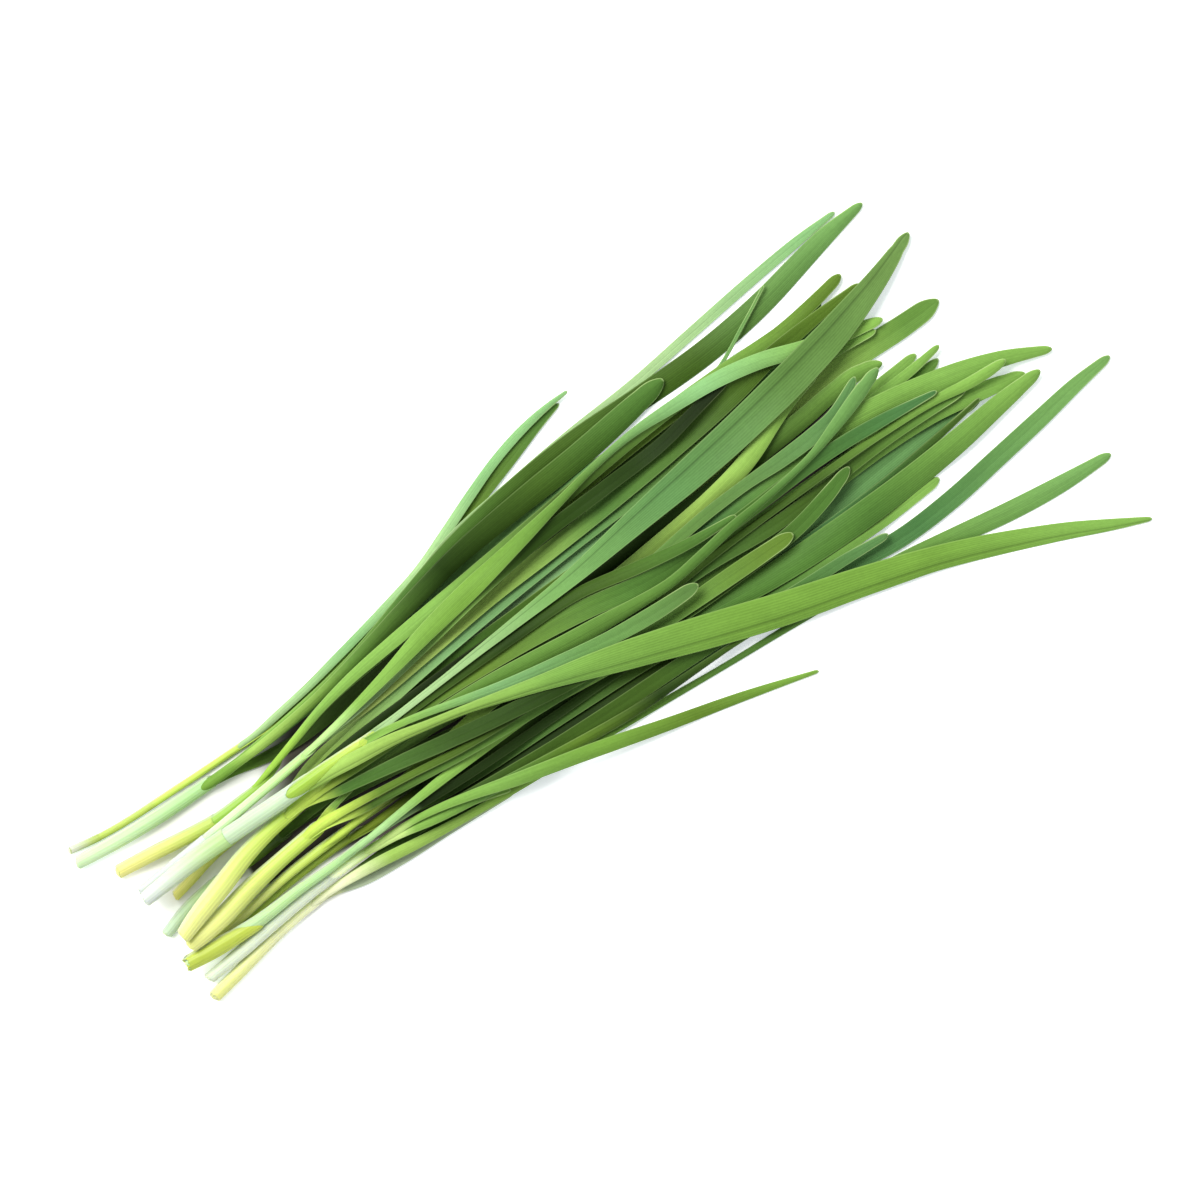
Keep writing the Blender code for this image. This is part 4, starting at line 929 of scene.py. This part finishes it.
def bladeSweep():
    form = bladeForm

    def section(net, given, v, u):
        width, curl, run, seed, fold, strength, channel = (named(net, label) for label in (
            "width", "curl", "run", "seed", "fold", "foldStrength", "channel"))
        half = width * 0.5
        keel, margin = given.of("Keel"), given.of("Margin")
        thick = keel + (margin - keel) * abs(v) ** form["thinning"]
        tapered = net.maths("MINIMUM", thick, width * form["thickMost"])
        rounded = net.maths("SIGN", u) * abs(u) ** form["round"] * tapered * 0.5
        bent = net.maths("SQRT", v * v + form["soft"] ** 2) - form["soft"]
        rib = given.of("Rib") * net.ease(abs(v), form["ribReach"], 0.0) * net.ease(u, 0.2, -0.4)
        rib = net.maths("MINIMUM", rib, width * form["ribMost"])
        groove = given.of("Fold Depth") * strength
        groove = groove * net.ease(abs(v - fold), form["foldReach"], 0.0)
        groove = net.maths("MINIMUM", groove, width * form["foldMost"]) * net.ease(u, -0.2, 0.3)
        past = net.maths("MAXIMUM", (v - fold) * net.maths("SIGN", fold), 0.0)
        fall = past * half * given.of("Fold Slope")
        wave = net.noise(net.combined(run * form["rippleRun"] + seed * 53,
                                      v * form["rippleAcross"] + seed * 17), 1.0, 0.5)
        lift = rounded + width * channel * bent - rib
        lift = lift + (wave - 0.5) * given.of("Ripple") * v * v - groove - fall
        radius = half / curl
        turn = curl * v
        out = (radius - lift) * net.maths("SINE", turn)
        rise = radius - (radius - lift) * net.maths("COSINE", turn)
        return out, rise, 0.0
    return sweepTree("blades", dict.fromkeys(bladeSizes, "Float"), section)


def bladeStations(end, tipWidth):  # even along the blade and closer towards the tip
    form = bladeForm
    body = end - form["tipCalm"] * tipWidth
    even = np.linspace(0, body, max(3, round(body / form["stationRun"])))
    last = end - settle["tipRun"] * tipWidth * np.array(form["tipStations"])
    return np.concatenate([even, last])


def frameOf(centre, roll):  # directions to the left and up of a line, leaning by roll
    ahead = np.gradient(centre, axis=0)
    ahead /= np.linalg.norm(ahead, axis=1)[:, None]
    left = np.column_stack([-ahead[:, 1], ahead[:, 0], np.zeros(len(ahead))])
    left /= np.linalg.norm(left, axis=1)[:, None]
    up = np.cross(ahead, left)
    c, s = np.cos(roll)[:, None], np.sin(roll)[:, None]
    return left * c + up * s, up * c - left * s


def centreOf(run, strip, heights):
    return np.column_stack([np.interp(run, strip.run, values)
                            for values in (*strip.centre.T, heights)])


def eased(value, low, high):
    t = np.clip((value - low) / (high - low), 0, 1)
    return t * t * (3 - 2 * t)


def bladeLine(blade, laid, mouthWidth, basePaint, upper, seed, shift):
    form = bladeForm
    strip, heights, roll = laid
    run = bladeStations(strip.run[-1] - form["tipBack"], max(blade["route"][-1][2], form["tipLeast"]))
    centre = centreOf(run, strip, heights)
    if "over" in blade:  # lies over the sheath between these two places
        lift, start, end = blade["over"]
        climb, descent = form["overRun"]
        x = centre[:, 0]
        centre[:, 2] += lift * eased(x, start - climb, start) * (1 - eased(x, end, end + descent))
    centre += shift
    past = run - (settle["rootRun"] + settle["mouthRun"])
    inside = 1 - eased(past, -form["tuckRun"], 0)
    centre[:, 2] -= form["tucked"] * inside
    left, up = frameOf(centre, np.interp(run, strip.run, roll))
    opening = 1 - eased(past, 0, form["baseRun"])
    width = np.interp(run, strip.run, strip.width)
    width = width + (form["baseShare"] * mouthWidth - width) * opening
    width *= 1 - form["narrowed"] * inside
    bend = form["archCurl"] if upper else form["troughCurl"]
    bend = np.minimum(bend, 2 * form["curlDepth"] / np.maximum(width / 2, form["curlLeast"]))
    curl = bend + (form["baseCurl"] - bend) * opening
    if upper:
        centre[:, 2] += form["archLift"] * (1 - opening)
    # the tones along the blade: partly its own colour, partly painted shade and light
    shares = np.linspace(*form["toneShares"], len(blade["tones"]))
    stages = np.maximum.accumulate(np.concatenate([[0.0, form["baseTone"]], shares * past[-1]]))
    paints = np.array([basePaint, basePaint] + [linear(tones[name]) for name in blade["tones"]])
    tint = np.column_stack([np.interp(past, stages, paints[:, k]) for k in range(3)])
    constants = {"channel": 0.0 if upper else form["channel"], "fold": blade.get("crease", 0.0),
                 "foldStrength": form["markedFold" if "crease" in blade else "keelFold"],
                 "seed": seed}
    return {"centre": centre, "left": left, "up": up, "width": width, "curl": -curl if upper else curl,
            "tint": tint, "run": past, "toTip": run[-1] - run,
            **{label: np.full(len(run), value) for label, value in constants.items()}}


sheathForm = {
    "flat": 0.86,  # height of the section, as a share of its width
    "pointsRound": 36,
    "stationRun": 1.5,
    "firstStation": 0.12,  # run of the section behind the cut, mm
    "bodyStations": (0.5, 0.4),  # of the even ones, from the cut and from the mouth
    "lastStations": (0.22, 0.1, 0.03, 0.0),  # and of the last ones, from the mouth
    "rimRun": (0, 0.03, 0.1, 0.22, 0.4),  # how a skin thins out to its mouth
    "rimWidth": (0.90, 0.94, 0.975, 0.995, 1.0),
    "cutWidth": 0.96,  # and at its cut
    "paintedLight": 1.34,  # painted light: how much paler the skins are painted than a leaf of their tone
    "step": 0.07,  # how much narrower each skin is than the one round it
    "proud": 0.05,  # how far it stands out of it at the cut end, mm
    "cutBack": 0.85,  # how far the outermost stays back from the sheath's end, mm
    "backRun": 4.0,
    "notchRun": 9.0,  # run over which the mouth's shape fades
    "cutRun": 3.0,  # and the cut's
    "cutSlant": 0.4,  # how far out of square the cut may be, mm
    "fray": 0.8,  # how ragged it is, mm
    "frayTurn": 2.4,  # and how often that changes round it
    "inner": (3, 6),  # steps of the skins within, which only the cut shows
    "innerRun": 25.0,
}


def sheathSweep():
    def section(net, given, v, u):
        half = named(net, "width") * 0.5
        turn = sheathForm["frayTurn"]
        place = net.combined(v * turn, u * turn, named(net, "seed") * 41)
        torn = net.noise(place, 2.0, 0.7, "3D")
        on = named(net, "slantUp") * u + named(net, "slantSide") * v
        on = on + (torn - 0.5) * named(net, "fray")
        return half * v, half * given.of("Flat") * u, on
    return sweepTree("sheaths", {"Flat": "Float"}, section)


def sheathLine(strip, heights, order, reach, paints, cut, mouthShape, seed, shift):
    # one skin of the nest, whose paint changes over its reach
    form = sheathForm
    end = reach[1]
    first, last = form["bodyStations"]
    body = np.linspace(first, end - last, max(4, round(end / form["stationRun"])))
    run = np.concatenate([[0, form["firstStation"]], body, end - np.array(form["lastStations"])])
    rim = np.interp(end - run, form["rimRun"], form["rimWidth"])
    rim[0] = form["cutWidth"]
    width = np.interp(run, strip.run, strip.fullWidth) * (1 - form["step"]) ** order * rim
    centre = centreOf(run, strip, heights)
    back = strip.centre[0] - strip.centre[2]
    outwards = back / np.linalg.norm(back) * (form["proud"] * order - form["cutBack"])
    centre[:, :2] += outwards * (1 - eased(run, 0, form["backRun"]))[:, None]
    left, up = frameOf(centre, np.zeros(len(run)))
    near = 1 - eased(run, 0, form["cutRun"])
    mouth = np.clip(1 - (end - run) / form["notchRun"], 0, 1) ** 2
    along = eased(run, *reach)[:, None]
    # the skin's tone, painted paler below as painted light
    tint = linear(skins[paints[0]]) * (1 - along) + linear(skins[paints[1]]) * along
    notch, slant = mouthShape
    return {"centre": centre + shift, "left": left, "up": up, "width": width,
            "slantUp": near * cut[0] - mouth * notch, "slantSide": near * cut[1] - mouth * slant,
            "fray": near * cut[2], "tint": tint * form["paintedLight"], "run": run,
            "seed": np.full(len(run), seed)}


def middleShift():  # from the tables to the frame, as the shoots' boxes give it
    moves = []
    for name, (stem, blades) in lying.items():
        strips = [stem[0]] + [blade[0] for blade in blades]
        edges = np.vstack([strip.centre + sign * strip.side * strip.width[:, None] / 2
                           for strip in strips for sign in (-1, 1)])
        low, high = (np.array(corner)[:2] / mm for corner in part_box(name))
        moves.append((low + high) / 2 - (edges.min(0) + edges.max(0)) / 2)
    return np.append(np.median(moves, axis=0), 0.0)


def growSheath(name, shoot, tree, dice, shift):
    (stem, heights), _ = lying[name]
    form = sheathForm
    slants = dice.uniform(-form["cutSlant"], form["cutSlant"], 2)
    cut = (*slants, shoot.get("fray", form["fray"]))
    lines, start = [], 0.0
    for order, (x, first, last, notch, *slant) in enumerate(shoot["skins"]):
        end = stem.run[-1] if x is None else stem.run[np.argmin(np.abs(stem.centre[:, 0] - x))]
        lines.append(sheathLine(stem, heights, order, (start, end), (first, last), cut,
                                (notch, slant[0] if slant else 0.0), dice.random(), shift))
        start = end
    inner = shoot["skins"][0][1]
    for order in form["inner"]:
        lines.append(sheathLine(stem, heights, order, (0.0, form["innerRun"]), (inner, inner), cut,
                                (0.0, 0.0), dice.random(), shift))
    values = {"Points Round": form["pointsRound"], "Flat": form["flat"], "Material": sheathSkin}
    return sweep("sheath_" + name[-2:], tree, values, lines)


def growBlades(name, shoot, tree, dice, shift):
    (stem, _), blades = lying[name]
    form = bladeForm
    skinPaint = linear(skins[shoot["skins"][-1][2]]) * sheathForm["paintedLight"]
    lines = []
    for k, (blade, laid) in enumerate(zip(shoot["blades"], blades)):
        base = blade.get("base", shoot.get("base"))
        basePaint = linear(tones[base]) if base else skinPaint
        mouthWidth = stem.fullWidth[stem.nearest(blade["route"][0][:2])]
        upper = k >= len(blades) / 2
        lines.append(bladeLine(blade, laid, mouthWidth, basePaint, upper, dice.random(), shift))
    values = {"Points Round": form["pointsRound"], "Material": leafSkin,
              **{label: form[key] for label, key in bladeSizes.items()}}
    return sweep("blades_" + name[-2:], tree, values, lines)


bladeTree, sheathTree = bladeSweep(), sheathSweep()
dice = np.random.default_rng(bladeForm["seed"])
shift = middleShift()
for name, shoot in shoots.items():
    for piece in (growSheath(name, shoot, sheathTree, dice, shift),
                  growBlades(name, shoot, bladeTree, dice, shift)):
        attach(piece, "root")
        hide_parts(name)
print("chives: shoots grown, moved by", [round(float(x), 2) for x in shift], "mm")

stage = {
    "floorSize": 12.0,
    "floorWhite": (0.9, 0.9, 0.9, 1.0),
    "floorRough": 0.9,
    "floorSpecular": 0.1,
    # painted light: outside the bunch the floor glows pale blue, so that the shadows on it stay faint
    "floorPaintedLight": 0.38,
    "glowTint": (0.86, 0.94, 1.0, 1.0),
    "shadePaint": (0.08, 0.07, 0.06, 1.0),
    "shade": (-3.0, 5.5, 88.0, 23.5),  # middle and reach of the painted shade on the floor under the bunch, mm,
    "gap": (-95.5, -2.2, 12.0, 5.0),  # of the painted shade between two of its stems,
    "dim": (-23.0, 4.0, 109.0, 25.0),  # and of the floor without the painted glow
    "shadeEdge": (1.25, 0.75),
    "world": 0.66,
    "worldTint": (0.96, 0.98, 0.98, 1.0),
    "keyPower": 118.0,
    "keyTint": (1.0, 0.98, 0.94),
    "keySize": 1.7,
    "keyPlace": (-0.5, 1.6, 2.4),
}


def makeFloor():
    half = stage["floorSize"] / 2
    mesh = bpy.data.meshes.new("floor")
    mesh.from_pydata([(-half, -half, 0), (half, -half, 0), (half, half, 0), (-half, half, 0)], [],
                     [(0, 1, 2, 3)])
    floor = bpy.data.objects.new("floor", mesh)
    bpy.context.scene.collection.objects.link(floor)
    material, net = newNet("white surface")
    place = net.add("ShaderNodeSeparateXYZ", {}, {0: net.add("ShaderNodeTexCoord", output="Object")})

    def within(x, y, reachX, reachY):  # 1 inside a rounded patch of the floor, 0 outside
        far = abs((place - x * mm) / (reachX * mm)) ** 4
        far = far + abs((place.of("Y") - y * mm) / (reachY * mm)) ** 4
        return net.ease(far, *stage["shadeEdge"])
    # painted shade: the floor is painted dark under the bunch and between two stems, for the deep shade
    # among the leaves
    deep = net.maths("MAXIMUM", within(*stage["shade"]), within(*stage["gap"]))
    paint = net.mixed(deep, stage["floorWhite"], stage["shadePaint"])
    # painted light: the floor glows outside the bunch and not under it
    glow = net.mixed(within(*stage["dim"]), stage["glowTint"], (0.0, 0.0, 0.0, 1.0))
    surface(net, {"Roughness": stage["floorRough"], "Specular IOR Level": stage["floorSpecular"],
                  "Emission Strength": stage["floorPaintedLight"]},
            {"Base Color": paint, "Emission Color": glow})
    mesh.materials.append(material)


def makeLights():
    world = bpy.data.worlds.new("studio")
    bpy.context.scene.world = world
    world.use_nodes = True
    background = world.node_tree.nodes["Background"]
    background.inputs["Color"].default_value = stage["worldTint"]
    background.inputs["Strength"].default_value = stage["world"]
    lamp = bpy.data.lights.new("key", "AREA")
    lamp.shape = "SQUARE"
    lamp.size = stage["keySize"]
    lamp.energy = stage["keyPower"]
    lamp.color = stage["keyTint"]
    key = bpy.data.objects.new("key", lamp)
    key.location = stage["keyPlace"]
    key.rotation_euler = (-Vector(stage["keyPlace"])).to_track_quat("-Z", "Y").to_euler()
    bpy.context.scene.collection.objects.link(key)


lens = {
    "middle": (2.96, 6.1),  # point of the surface at the middle of the view, mm
    "width": 300.0,  # width of the view there, mm
    "distance": 3.0,  # metres, from the lift of that point off the floor
    "lift": 0.005,
    "turn": -34.0,  # degrees that the view is rolled about the vertical
    "sensor": 36.0,  # mm
    "farthest": 20.0,  # metres
}


def makeCamera():
    data = bpy.data.cameras.new("camera")
    data.sensor_width = lens["sensor"]
    data.lens = data.sensor_width * lens["distance"] / (lens["width"] * mm)
    data.clip_end = lens["farthest"]
    camera = bpy.data.objects.new("camera", data)
    x, y = lens["middle"]
    camera.location = (x * mm, y * mm, lens["distance"] + lens["lift"])
    camera.rotation_euler = (0, 0, math.radians(lens["turn"]))
    bpy.context.scene.collection.objects.link(camera)
    bpy.context.scene.camera = camera


makeFloor()
makeLights()
makeCamera()
bpy.context.scene.view_settings.view_transform = "Standard"
print("chives: floor, light and camera set")
